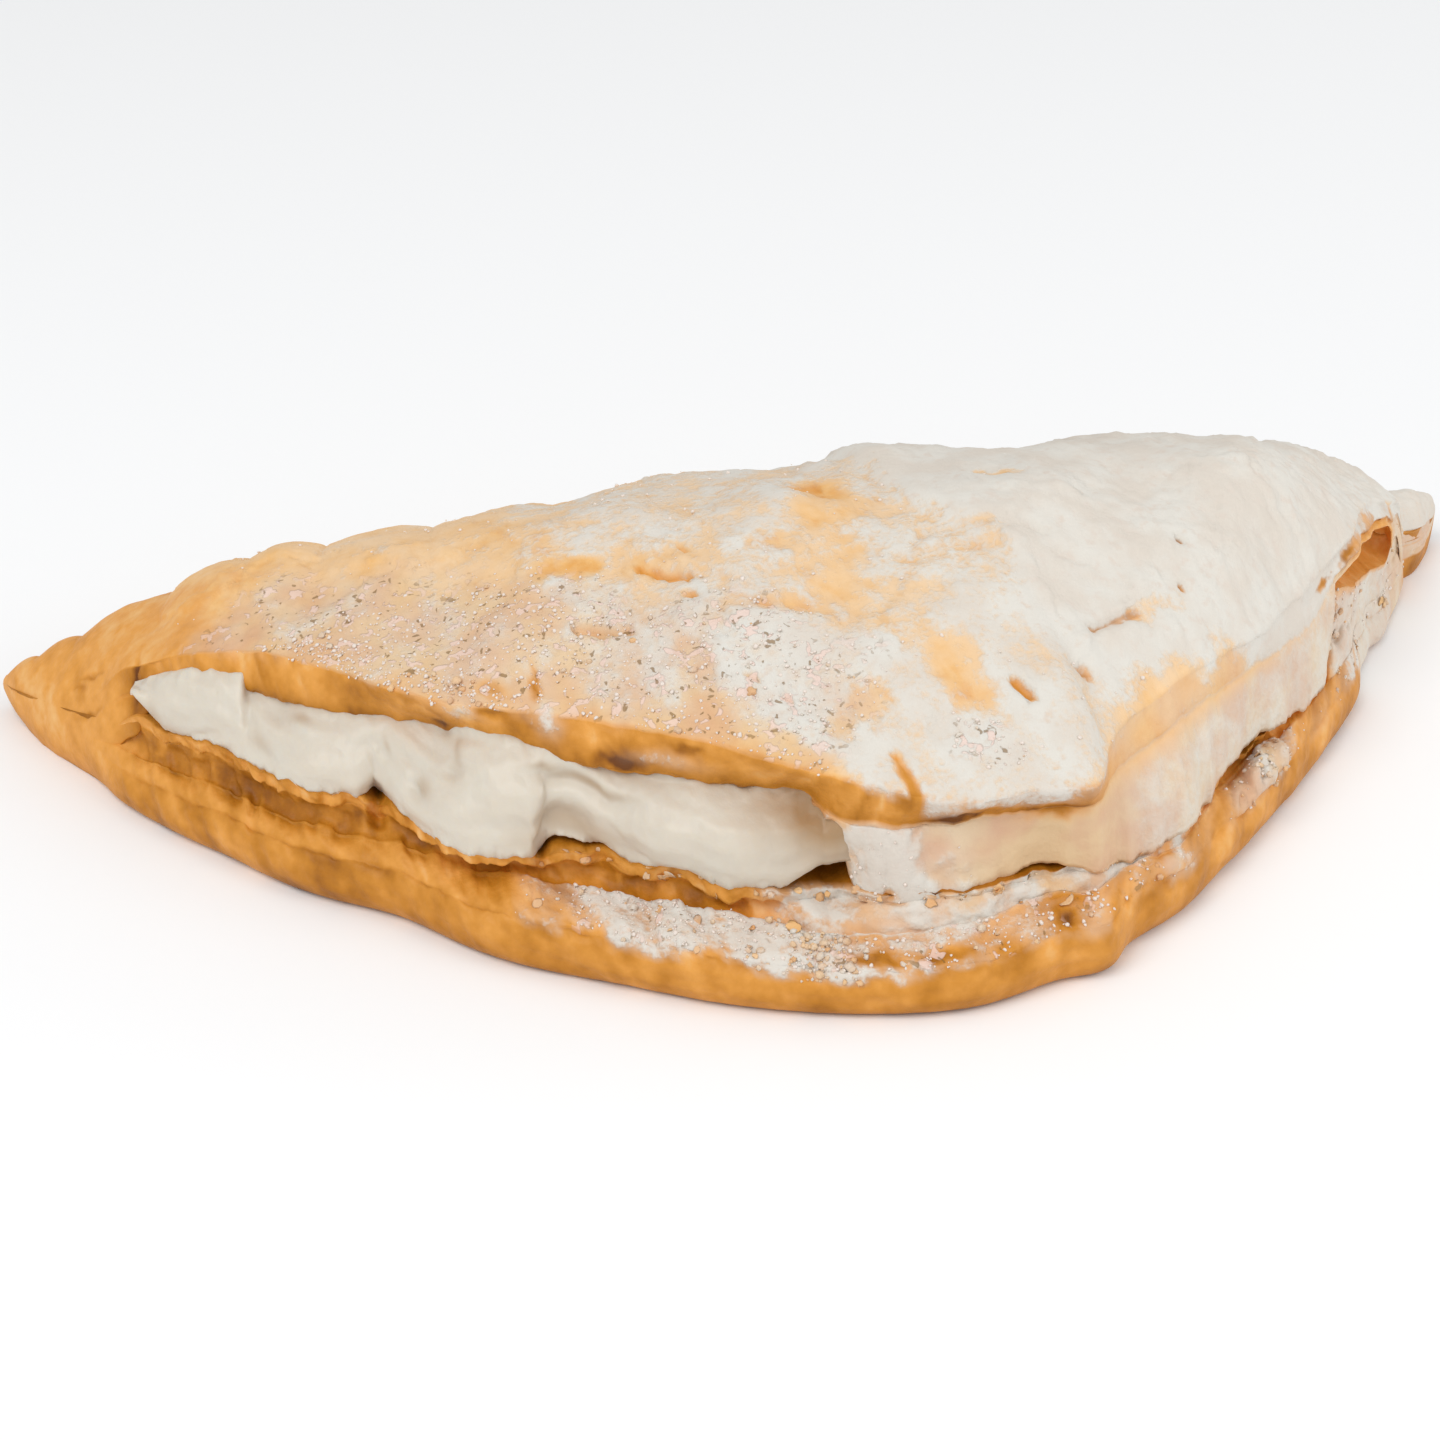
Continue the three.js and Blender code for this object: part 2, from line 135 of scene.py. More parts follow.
def noise(u, v, cell, seed):
    """Smooth random hills between about -1 and 1: each corner of a square grid of side cell has a random
    slope, and the four slopes round a point are blended by quintic weights."""
    turns = np.random.default_rng(seed).random((97, 97)) * 2 * np.pi
    gu, gv = np.asarray(u) / cell, np.asarray(v) / cell
    i, j = np.floor(gu).astype(int), np.floor(gv).astype(int)
    fu, fv = gu - i, gv - j
    wu, wv = (f**3 * (f * (6 * f - 15) + 10) for f in (fu, fv))

    def corner(di, dj):
        turn = turns[(i + di) % 97, (j + dj) % 97]
        return np.cos(turn) * (fu - di) + np.sin(turn) * (fv - dj)

    low = mix(corner(0, 0), corner(1, 0), wu)
    high = mix(corner(0, 1), corner(1, 1), wu)
    return 1.5 * mix(low, high, wv)


def rough(u, v, cell, seed, octaves=3):
    """Noise with finer and weaker copies of itself added, each half as wide and 0.55 as strong."""
    return sum(0.55**k * noise(u, v, cell / 2**k, seed + 31 * k) for k in range(octaves))


def stack(*parts):
    """Coordinates, each a number or an array, as one array of points."""
    return np.stack(np.broadcast_arrays(*parts), -1)


def stretch(start, pull_a, pull_b, end, shares):
    """Points of a cubic Bezier curve of every section at the given shares: (stations, shares, 2)."""
    t = np.asarray(shares)[None, :, None]
    a, b, c, d = (p[:, None, :] for p in (start, pull_a, pull_b, end))
    return (1 - t) ** 3 * a + 3 * t * (1 - t) ** 2 * b + 3 * t * t * (1 - t) * c + t**3 * d


def steps(count, crowd_start=0.0, crowd_end=0.0):
    """Shares from 0 up to, and without, 1: count of them, closer together at the ends that crowd."""
    t = np.arange(count) / count
    early = mix(t, t * t, crowd_start)
    return mix(early, 1 - (1 - early) ** 2, crowd_end)


# ---- plan ----
EDGE_WAVES = [
    (0.45, 0.4, 0.7), (0.04, 0.03, 0.4), (0.265, 0.035, -1.9), (0.18, 0.03, -0.5), (0.37, 0.03, -0.6),
    (0.568, 0.014, 1.8), (0.62, 0.03, 0.8), (0.91, 0.045, -1.2), (0.85, 0.02, -1.4), (0.872, 0.01, -0.9),
    (0.945, 0.01, -1.2),
]


def open_edge():
    """The open edge as shares of its length and plan points: each leg is a superellipse,
    y = -depth * (1 - |x / half fold| ^ bow) ^ (1 / bluntness)."""
    across = np.cos(np.pi * np.linspace(0, 1, 20001))
    left, right = np.array(LEFT_LEG)[:, None], np.array(RIGHT_LEG)[:, None]
    bow, bluntness = np.where(across > 0, left, right)
    x = -HALF_FOLD * across
    y = -DEPTH * (1 - np.abs(across) ** bow) ** (1 / bluntness)
    length = np.concatenate([[0], np.cumsum(np.hypot(np.diff(x), np.diff(y)))])
    return length / length[-1], x, y, length[-1]


EDGE_SHARE, EDGE_X, EDGE_Y, EDGE_LENGTH = open_edge()


def on_edge(s):
    """The plan point of the open edge at the share s of its length."""
    s = clamp01(s)
    return stack(np.interp(s, EDGE_SHARE, EDGE_X), np.interp(s, EDGE_SHARE, EDGE_Y))


def plan_of(s):
    """Start on the open edge, direction towards the fold, and length of each section."""
    start = on_edge(s)
    along = on_edge(s + 0.002) - on_edge(s - 0.002)
    along /= np.linalg.norm(along, axis=-1, keepdims=True)
    wave = sum(out * bell(s, at, width) for at, width, out in EDGE_WAVES)
    wave = wave * smooth(0, 0.02, s) * smooth(1, 0.98, s)
    start = start + stack(along[:, 1] * wave, -along[:, 0] * wave)
    fold = stack(mix(-HALF_FOLD, HALF_FOLD, s), FOLD_BOW * np.sin(np.pi * s))
    reach = fold - start
    width = np.linalg.norm(reach, axis=-1)
    return start, reach / np.maximum(width, 1e-6)[:, None], width


# ---- how the section changes from the left tip (0) to the right tip (1) ----
# All are distances in from the open edge or heights, in millimetres, apart from crown_share, a share of
# SOLE_TO_CROWN, and crown_in, a share of the section's width.
crown_share = through([
    (0, 0.15), (0.05, 0.29), (0.1, 0.46), (0.15, 0.61), (0.2, 0.675), (0.3, 0.8), (0.4, 0.93), (0.5, 0.98),
    (0.6, 0.945), (0.66, 0.905), (0.76, 0.825), (0.83, 0.665), (0.86, 0.58), (0.9, 0.46), (0.94, 0.31),
    (1, 0.18)])
crown_in = through([(0, 0.6), (0.2, 0.6), (0.4, 0.52), (0.5, 0.52), (0.7, 0.42), (0.8, 0.38), (1, 0.5)])
shoulder_in = through([
    (0, 0), (0.1, 1.2), (0.16, 2.3), (0.26, 2.7), (0.32, 5), (0.37, 6.2), (0.42, 6.1), (0.455, 4.2),
    (0.5, 4.4), (0.55, 4.6), (0.6, 2), (0.63, 1.8), (0.68, 3.8), (0.7, 3.8), (0.74, 2.4), (0.8, 1.6),
    (0.83, 1.3), (0.86, 0.8), (0.9, 0.7), (1, 0)])
groove_up = through([
    (0, 3.5), (0.1, 6.4), (0.2, 7.6), (0.4, 7.7), (0.455, 6.8), (0.55, 7.8), (0.7, 7.2), (0.8, 6.6),
    (0.9, 6), (1, 3.5)])
groove_depth = through([
    (0, 0), (0.09, 0.4), (0.13, 1.0), (0.3, 1.2), (0.4, 1.6), (0.437, 1.4), (0.455, 0.5), (0.49, 0.1),
    (0.575, 0.1), (0.66, 0.6), (0.69, 1.8), (0.74, 1.2), (0.79, 0.1), (1, 0)])
crust_rise = through([
    (0, 0.7), (0.1, 1.2), (0.121, 3.4), (0.142, 2.6), (0.17, 3.2), (0.22, 3.3), (0.28, 2.7), (0.46, 2.6),
    (0.485, 2.5), (0.51, 2.3), (0.53, 1.8), (0.56, 1.2), (0.6, 0.8), (0.782, 0.8), (0.796, 8.4), (0.83, 6),
    (0.87, 3.8), (0.896, 2.6), (0.91, 4.9), (0.93, 4.5), (0.95, 1.4), (1, 0.7)])
crust_thickness = through([
    (0, 0.5), (0.14, 1.3), (0.25, 1.5), (0.35, 1.4), (0.39, 1.7), (0.45, 1.4), (0.5, 0.8), (0.6, 0.6),
    (0.775, 0.6), (0.796, 6), (0.83, 4.5), (0.87, 2.8), (0.896, 2), (0.91, 4.2), (0.93, 4), (0.95, 0.9),
    (1, 0.5)])
crust_in = through([
    (0, 0), (0.1, 1.8), (0.13, 3), (0.157, 3.4), (0.217, 2.6), (0.253, 4.2), (0.292, 1.8), (0.332, 4.4),
    (0.363, 7.2), (0.406, 6.6), (0.43, 6), (0.464, 7.6), (0.5, 5.5), (0.55, 5.6), (0.6, 2), (0.63, 1.8),
    (0.68, 3.8), (0.7, 3.8), (0.74, 2.4), (0.775, 1.4), (0.798, 3.4), (0.83, 2), (0.86, 1), (0.9, 0.8),
    (0.92, 1), (1, 0)])
pocket_depth = through([
    (0, 0.12), (0.1, 0.2), (0.12, 6), (0.15, 16), (0.2, 26), (0.3, 38), (0.42, 48), (0.45, 44), (0.47, 26),
    (0.485, 8), (0.5, 1), (0.53, 1), (0.54, 3), (0.562, 3), (0.575, 0.6), (0.66, 0.6), (0.68, 2.5),
    (0.72, 2.5), (0.74, 0.6), (0.775, 0.6), (0.8, 4), (0.84, 6), (0.885, 5), (0.905, 1), (0.92, 0.4),
    (1, 0.12)])
ply_in = through([
    (0, 0), (0.1, 2.8), (0.13, 5), (0.16, 7.4), (0.22, 9.4), (0.31, 11.4), (0.36, 10.6), (0.41, 11.6),
    (0.45, 11), (0.465, 9.4), (0.48, 7.8), (0.51, 6.6), (0.55, 5.8), (0.6, 1), (0.626, 0.7), (0.681, 3.2),
    (0.7, 3.2), (0.738, 1), (0.775, 0.4), (0.784, 0.6), (0.796, 3.4), (0.83, 1.8), (0.86, 0.8), (0.9, 0.8),
    (0.945, 1.2), (1, 0)])
ply_up = through([
    (0, 4.2), (0.1, 8.6), (0.13, 11.4), (0.16, 14.2), (0.2, 15.6), (0.27, 16.8), (0.31, 17.6), (0.45, 17.8),
    (0.462, 15.6), (0.474, 11.6), (0.49, 9.8), (0.515, 9.2), (0.535, 9.5), (0.552, 9.8), (0.562, 9.6),
    (0.58, 8.8), (0.69, 8.9), (0.784, 7.2), (0.795, 16), (0.83, 16.6), (0.86, 15.4), (0.885, 14),
    (0.905, 11.2), (0.95, 8), (1, 4)])
lip_in = through([
    (0, 0), (0.1, 3.2), (0.14, 5.6), (0.18, 7.5), (0.216, 8), (0.267, 8.8), (0.31, 10.4), (0.364, 9.2),
    (0.41, 10.5), (0.45, 10.1), (0.468, 7.4), (0.53, 6.3), (0.564, 4.5), (0.606, 6.4), (0.65, 6),
    (0.75, 3.8), (0.79, 3.4), (0.83, 2), (0.86, 1.2), (0.9, 1.2), (0.94, 1.4), (1, 0)])
lip_up = through([
    (0, 4.6), (0.1, 10.6), (0.18, 15.2), (0.216, 15.6), (0.267, 16.6), (0.31, 17.4), (0.41, 18),
    (0.486, 16.8), (0.564, 16), (0.65, 17), (0.75, 15.6), (0.8, 17), (0.83, 17.5), (0.86, 16.4),
    (0.885, 15), (0.905, 12.2), (0.95, 8.6), (1, 4.6)])
brim_in = through([
    (0, 0), (0.1, 4.2), (0.159, 7.2), (0.217, 10), (0.268, 6.6), (0.321, 9.2), (0.365, 10.5), (0.409, 10.2),
    (0.448, 8), (0.486, 6.2), (0.526, 4.6), (0.559, 3.2), (0.581, 5.6), (0.606, 7.9), (0.644, 7.8),
    (0.694, 5.7), (0.748, 5.1), (0.79, 4.6), (0.83, 3.4), (0.87, 2.6), (0.9, 2.4), (0.94, 1.5), (1, 0)])
brim_up = through([
    (0, 5), (0.05, 9), (0.1, 12.8), (0.15, 17.6), (0.2, 20.4), (0.25, 21.8), (0.33, 22.9), (0.4, 23.2),
    (0.45, 22), (0.5, 20), (0.56, 19.2), (0.65, 20), (0.75, 18.4), (0.83, 18.8), (0.87, 17.4),
    (0.905, 13.8), (0.95, 10.2), (1, 5)])

# Torn notches of the crust edge: (section, half width, millimetres).
CRUST_NOTCHES = [(0.256, 0.004, 1.6), (0.337, 0.0035, 1.5), (0.458, 0.008, 0.6), (0.205, 0.003, 0.5)]


def tip_rounding(s):
    """0 at a tip and 1 a short way in, as the side of a circle rises."""
    left = np.sqrt(1 - (1 - clamp01(s / 0.035)) ** 2)
    right = np.sqrt(1 - (1 - clamp01((1 - s) / 0.02)) ** 2)
    return left * right


LOBE_DIPS = np.array([0.005, 0.03, 0.06, 0.125, 0.175, 0.22, 0.285, 0.36, 0.49, 0.635, 0.8, 0.945, 0.998])
lobe_depth = through([
    (0, 0.5), (0.05, 1.3), (0.2, 1.2), (0.3, 0.9), (0.4, 0.5), (0.6, 1), (0.9, 1.4), (1, 0.6)])


def lobes(s):
    """Lobes side by side along the back: a low arch, sin(pi t) ^ 0.6, between each two dips."""
    k = np.clip(np.searchsorted(LOBE_DIPS, s, side="right") - 1, 0, len(LOBE_DIPS) - 2)
    share = clamp01((s - LOBE_DIPS[k]) / (LOBE_DIPS[k + 1] - LOBE_DIPS[k]))
    inside = (s >= LOBE_DIPS[0]) & (s < LOBE_DIPS[-1])
    return np.where(inside, -lobe_depth(s) * (1 - np.sin(np.pi * share) ** 0.6), 0.0)


# The outer ply of the lid ends in a low step that runs from the back towards the front corner.
STEP_LINE = [(8, 4), (24, 5), (36, 6), (48, 13), (60, 17), (70, 20)]      # (distance from the fold, x)
STEP_HEIGHT = 1.2
step_x = through(STEP_LINE)


def ply_step(x, y):
    """The height of the outer ply's step: none left of its line, full right of it."""
    return STEP_HEIGHT * smooth(-1.2, 1.8, x - step_x(-y))


def swells(x, y):
    """Low swells of the lid, where its plies have lifted unevenly: two crossed pairs of sines."""
    first = np.sin(x / 6.1 + y / 9.7) * np.sin(y / 5.3 - x / 14 + 1.1)
    return 0.45 * (first + 0.6 * np.sin(x / 3.7 - y / 4.9 + 2))


# The stretches of the edge where the lid has come apart from the base, and how long the gap takes to open.
OPENINGS = [(0.118, 0.476, 0.012), (0.526, 0.57, 0.014), (0.655, 0.735, 0.012), (0.785, 0.908, 0.008)]


def apart(s):
    """1 where the lid has come apart from the base, and 0 where it still lies on the crust."""
    return np.max([smooth(a, a + soft, s) * smooth(b, b - soft, s) for a, b, soft in OPENINGS], 0)


def right_apron(s):
    """1 where the lid's inner ply hangs down on the right as an apron."""
    return smooth(0.55, 0.6, s) * smooth(0.805, 0.785, s)


# Where each stretch of the base and of the lid lies on the one smooth outline of a section that is shut,
# from the toe (0) to the crown (1). They meet at SHUT_SEAM.
SHUT_BASE = {"side": (0, 0.3), "shoulder": (0.3, 0.36), "groove": (0.36, 0.43), "crust": (0.43, 0.45)}
SHUT_LID = {"ply": (0.31, 0.42), "lip": (0.42, 0.55), "front": (0.55, 1)}
SHUT_SEAM = 0.38


def shut_outline(c, t, sunk):
    """The smooth outline of a section that is shut, at shares t from toe to crown, sunk a little."""
    toe, crown, small = c["toe"], c["crown"], c["small"]
    pull_low, pull_high = stack(-2.6 * small, 0.25 * crown[:, 1]), stack(0.18 * crown[:, 0], crown[:, 1])
    outline = stretch(toe, pull_low, pull_high, crown, t)
    return outline + (stack(0.9, -0.45) * np.reshape(sunk, (-1, 1)))[None] * small[:, None, None]


def shut_smoothly(c, profile, names, shares, spans, towards):
    """The profile with its stretches drawn onto the smooth outline where the section is shut."""
    for name, (first, last) in spans.items():
        columns = names == name
        t = mix(first, last, shares[columns])
        sunk = 0.3 * smooth(SHUT_SEAM, towards, t)
        profile[:, columns] = mix(profile[:, columns], shut_outline(c, t, sunk), c["shut"])
    return profile, names, shares


def corners(s, width, tear=1.0):
    """The named corner points of every section, each (stations, 2) as in and up: the smooth curves above
    plus noise along the edge, tear times as strong, which fades out towards both tips. Where the pastry
    is still shut, near the tips, the lid's lower edge lies over the crust."""
    along = s * EDGE_LENGTH
    small = clamp01(width / 24)
    torn = tear * small * smooth(0.1, 0.16, s) * mix(1, 0.3, smooth(0.76, 0.8, s)) * smooth(0.97, 0.9, s)
    sealed = 1 - apart(s)[:, None]
    shut = np.maximum(smooth(0.112, 0.08, s), smooth(0.918, 0.938, s))[:, None]

    def ragged(cell, size, seed):
        return size * torn * rough(along, 0.0 * s + 3.3, cell, seed, 4)

    shoulder, groove = shoulder_in(s), groove_up(s)
    notch = tear * sum(size * bell(s, at, wide) for at, wide, size in CRUST_NOTCHES)
    mouth = stack(shoulder, groove - 0.6 + ragged(5, 0.5, 11))
    groove_end = shoulder + 1.33 * groove_depth(s) * (1 + 0.4 * noise(along, 0 * s, 3.2, 12))
    crust_top = stack(crust_in(s) + ragged(4, 0.8, 13) + notch,
                      groove + crust_rise(s) + ragged(4, 0.45, 14) - notch)
    thick = crust_thickness(s) * (1 + 0.3 * noise(along, 0 * s, 2.4, 15))
    crust_under = crust_top + stack(0.2 * small, -thick)
    depth = pocket_depth(s)
    ply_height = np.maximum(ply_up(s) + ragged(4, 0.4, 17), crust_top[:, 1] + 0.4)
    open_tip = stack(ply_in(s) + ragged(5, 0.5, 16), ply_height)
    overlap = mix(0.5, 2.2, np.maximum(smooth(0.15, 0.12, s), smooth(0.88, 0.9, s)))
    tucked = smooth(0.465, 0.475, s) * smooth(0.55, 0.53, s)
    under = stack(mix(-0.15 * small, 0.9, tucked), mix(-overlap * small, -1.3, tucked))
    ply_tip = mix(open_tip, crust_top + under, sealed)
    toe, crown_in_section = stack(1.4 * small, 0), crown_in(s) * width
    brim = stack(brim_in(s) + ragged(8, 0.5, 20), brim_up(s) + ragged(9, 0.4, 21))
    crown = stack(np.maximum(crown_in_section, brim[:, 0] + 0.2 * width), SOLE_TO_CROWN * crown_share(s))
    closed = {"toe": toe, "crown": crown, "small": small}
    crust_top = mix(crust_top, shut_outline(closed, [SHUT_BASE["crust"][1]], 0.3)[:, 0], shut)
    ply_tip = mix(ply_tip, shut_outline(closed, [SHUT_LID["ply"][0]], 0.3)[:, 0], shut)
    pocket_end = stack(np.maximum(crust_top[:, 0], ply_tip[:, 0]) + depth,
                       mix(crust_top[:, 1], open_tip[:, 1], 0.5) + depth * 0.06)
    lip_height = np.maximum(lip_up(s) + ragged(7, 0.6, 19), open_tip[:, 1] + 0.8)
    lip = stack(lip_in(s) + ragged(6, 0.4, 18), lip_height)
    brim = stack(brim[:, 0], np.maximum(brim[:, 1], lip[:, 1] + 1))
    back_nose = stack(width + BACK_NOSE * small, 0.22 * crown[:, 1] + 1.2)
    return {
        "small": small, "shut": shut[:, :, None], "toe": toe, "mouth": mouth, "groove_end": groove_end,
        "crust_top": crust_top, "crust_under": crust_under, "depth": depth, "ply_tip": ply_tip,
        "pocket_end": pocket_end, "lip": lip, "brim": brim, "crown": crown, "back_nose": back_nose,
        "heel": stack(width - 3.5 * small, 0),
        "side_top": stack(0.25 * small, mouth[:, 1] - 1.6),
        "lip_swell": mix(0.5, 0.15, right_apron(s)) * smooth(0.09, 0.16, s) * small,
        "lip_ledge": mix(0.4, -0.1, right_apron(s)) * smooth(0.09, 0.14, s) * small,
    }


def joined(pieces):
    """The stretches of an outline as one row of points, with each column's stretch name and its share of
    that stretch."""
    points = np.concatenate([p for _, p in pieces], 1)
    names = np.concatenate([[name] * p.shape[1] for name, p in pieces])
    shares = np.concatenate([np.arange(p.shape[1]) / p.shape[1] for _, p in pieces])
    return points, names, shares


def base_profile(c):
    """The base's closed outline: sole, rounded side, shoulder, groove, thin crust edge, pocket floor, and
    back to the heel inside the pastry."""
    small, mouth, end = c["small"], c["mouth"], c["groove_end"]
    toe, side_top, under, top = c["toe"], c["side_top"], c["crust_under"], c["crust_top"]
    pocket, heel = c["pocket_end"], c["heel"]
    bulge = -1.6 * small
    floor = top[:, 1] - c["depth"] * 0.015
    inside = mix(pocket, heel, 0.5)
    profile, names, shares = joined([
        ("sole", stretch(heel, mix(heel, toe, 1 / 3), mix(heel, toe, 2 / 3), toe, steps(12, 0, 0.4))),
        ("side", stretch(toe, stack(bulge, 0), stack(bulge, side_top[:, 1] - 0.8), side_top, steps(32))),
        ("shoulder", stretch(side_top, side_top + [0.2, 0.7], stack(mouth[:, 0] * 0.7, mouth[:, 1] - 0.2),
                             mouth, steps(18))),
        ("groove", stretch(mouth, stack(end, mouth[:, 1] + 0.1), stack(end, under[:, 1] - 0.3),
                           under, steps(24))),
        ("crust", stretch(under, mix(under, top, 1 / 3), mix(under, top, 2 / 3), top, steps(8))),
        ("floor", stretch(top, stack(mix(top[:, 0], pocket[:, 0], 0.5), floor), stack(pocket[:, 0], floor),
                          pocket, steps(16, 0.7, 0))),
        ("inside", stretch(pocket, mix(pocket, inside, 0.3), mix(inside, heel, 0.7), heel, steps(3))),
    ])
    return shut_smoothly(c, profile, names, shares, SHUT_BASE, SHUT_BASE["crust"][1])


def lid_profile(c):
    """The lid's closed outline: pocket roof, ply face, golden lip, front slope, back slope, the fold's
    round nose down to the heel, and back to the pocket's end inside the pastry."""
    small, swell = c["small"], c["lip_swell"]
    tip, lip, brim, crown, nose = c["ply_tip"], c["lip"], c["brim"], c["crown"], c["back_nose"]
    heel, pocket = c["heel"], c["pocket_end"]
    roof = tip[:, 1] + c["depth"] * 0.12
    root = lip + stack(c["lip_ledge"], -0.3)
    inside = mix(heel, pocket, 0.5)
    profile, names, shares = joined([
        ("roof", stretch(pocket, stack(pocket[:, 0], roof), stack(mix(tip[:, 0], pocket[:, 0], 0.5), roof),
                         tip, steps(12, 0, 0.7))),
        ("ply", stretch(tip, stack(tip[:, 0] - 0.3, mix(tip[:, 1], lip[:, 1], 0.4)),
                        stack(mix(tip[:, 0], lip[:, 0], 0.8), lip[:, 1] - 0.6), root, steps(20))),
        ("lip", stretch(lip, stack(lip[:, 0] - swell, mix(lip[:, 1], brim[:, 1], 0.3)),
                        stack(brim[:, 0] - swell, brim[:, 1] - 0.6), brim, steps(22))),
        ("front", stretch(brim, mix(brim, crown, np.array([0.22, 0.42])),
                          stack(mix(brim[:, 0], crown[:, 0], 0.62), crown[:, 1]), crown, steps(52))),
        ("back", stretch(crown, stack(mix(crown[:, 0], nose[:, 0], 0.34), crown[:, 1]),
                         stack(nose[:, 0], mix(nose[:, 1], crown[:, 1], 0.5)), nose, steps(26))),
        ("heel", stretch(nose, stack(nose[:, 0], nose[:, 1] * 0.45),
                         stack(mix(heel[:, 0], nose[:, 0], 0.7), 0), heel, steps(6))),
        ("inside", stretch(heel, mix(heel, inside, 0.3), mix(inside, pocket, 0.7), pocket, steps(3))),
    ])
    return shut_smoothly(c, profile, names, shares, SHUT_LID, SHUT_LID["ply"][0])


def in_place(s, plan, profile):
    """The profile's points in space, (stations, points, 3), with the lid's step, swells and lobes."""
    start, inwards, width = plan
    inward, up = profile[..., 0], profile[..., 1]
    x = start[:, :1] + inwards[:, :1] * inward
    y = start[:, 1:] + inwards[:, 1:] * inward
    column = s[:, None]
    on_lid = smooth(brim_up(column) - 1.5, brim_up(column) + 2, up)
    on_lid = on_lid * smooth(brim_in(column), brim_in(column) + 8, inward)
    on_back = smooth(0.25 * width[:, None], 0.8 * width[:, None], inward) * smooth(1.5, 8, up)
    lift = (ply_step(x, y) + swells(x, y)) * on_lid + lobes(column) * on_back
    z = mix(mix(*TIP_HEIGHTS, column), up + lift, tip_rounding(column))
    x = x - TIP_REACH * smooth(0.05, 0, column) * smooth(0, 2.5, z)
    return stack(x, y, z), on_lid


def normals_of(points):
    """Unit normals of a grid whose columns close on themselves: its steps along and around, crossed."""
    along = np.gradient(points, axis=0)
    around = np.roll(points, -1, 1) - np.roll(points, 1, 1)
    normal = np.cross(along, around)
    return normal / np.maximum(np.linalg.norm(normal, axis=-1, keepdims=True), 1e-9)


def arc_down(points):
    """Distance along each section from its first column, in millimetres."""
    gaps = np.linalg.norm(np.diff(points, axis=1), axis=-1)
    return np.concatenate([np.zeros((len(points), 1)), np.cumsum(gaps, 1)], 1)


def within(names, *wanted, blur=3):
    """How much each column belongs to the wanted stretches: 1 or 0, softened over a few columns."""
    flag = np.isin(names, wanted).astype(float)
    kernel = np.ones(blur) / blur
    return np.convolve(np.concatenate([flag[-blur:], flag, flag[:blur]]), kernel, "same")[blur:-blur]


def stations_of(count):
    """Shares of the open edge for the sections, closer together near both tips."""
    t = (np.arange(count) + 1) / (count + 1)
    return t - 0.25 * np.sin(2 * np.pi * t) / (2 * np.pi)


def laid_out(count, outline_of):
    """The sections of the lid or of the base in place, as grids of stations by points that the relief and
    the shading are worked out from: x and y in plan, up above the sole, along the open edge and down the
    outline, all in millimetres, and each column's stretch and share of it. tips fades out at both tips,
    and shut is 1 where the left tip is baked shut."""
    s = stations_of(count)
    plan = plan_of(s)
    profile, names, shares = outline_of(corners(s, plan[2]))
    points, on_lid = in_place(s, plan, profile)
    column = s[:, None]
    return SimpleNamespace(
        points=points, normal=normals_of(points), x=points[..., 0], y=points[..., 1], up=profile[..., 1],
        along=np.broadcast_to((s * EDGE_LENGTH)[:, None], profile.shape[:2]), down=arc_down(points),
        column=column, names=names, shares=shares, on_lid=on_lid,
        tips=smooth(0, 0.03, column) * smooth(1, 0.985, column), shut=smooth(0.125, 0.09, column))


# ---- meshes ----
def piece_from(name, points, faces, slot, replaced=None, **fields):
    """A mesh object from points in millimetres of the pastry's own plan, with a number for every point
    in each named field. It rides on the root body."""
    mesh = bpy.data.meshes.new(name)
    place = np.array(points, float).reshape(-1, 3)
    place[:, 1] += FOLD_Y
    mesh.from_pydata((place * MM).tolist(), [], faces.tolist())
    for field, values in fields.items():
        layer = mesh.attributes.new(field, "FLOAT", "POINT")
        layer.data.foreach_set("value", np.asarray(values, np.float32).ravel())
    mesh.polygons.foreach_set("use_smooth", [True] * len(mesh.polygons))
    mesh.validate()
    piece = bpy.data.objects.new(name, mesh)
    bpy.context.scene.collection.objects.link(piece)
    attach(piece, "root")
    if replaced:
        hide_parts(replaced)
    return piece


def closed_grid(rows, columns):
    """Quads of a grid whose columns close on themselves, facing outwards."""
    row, column = np.meshgrid(np.arange(rows - 1), np.arange(columns), indexing="ij")
    beside = (column + 1) % columns
    quads = stack(row * columns + column, row * columns + beside,
                  (row + 1) * columns + beside, (row + 1) * columns + column).reshape(-1, 4)
    return quads[:, ::-1]


def tube_piece(name, points, poles, slot, replaced=None, **fields):
    """A closed piece from rings of points and one pole at each end. A pole takes its ring's mean."""
    rows, columns = points.shape[:2]
    quads = closed_grid(rows, columns).tolist()
    k = np.arange(columns)
    after = (k + 1) % columns
    first, last = rows * columns, rows * columns + 1
    top = (rows - 1) * columns
    fans = stack(first + 0 * k, k, after).tolist() + stack(last + 0 * k, top + after, top + k).tolist()
    everything = np.concatenate([points.reshape(-1, 3), np.array(poles, float)])
    with_poles = {field: np.concatenate([v.ravel(), [v[0].mean(), v[-1].mean()]])
                  for field, v in fields.items()}
    mesh_faces = np.empty(len(quads) + len(fans), object)
    mesh_faces[:] = [tuple(face) for face in quads + fans]
    return piece_from(name, everything, mesh_faces, slot, replaced, **with_poles)


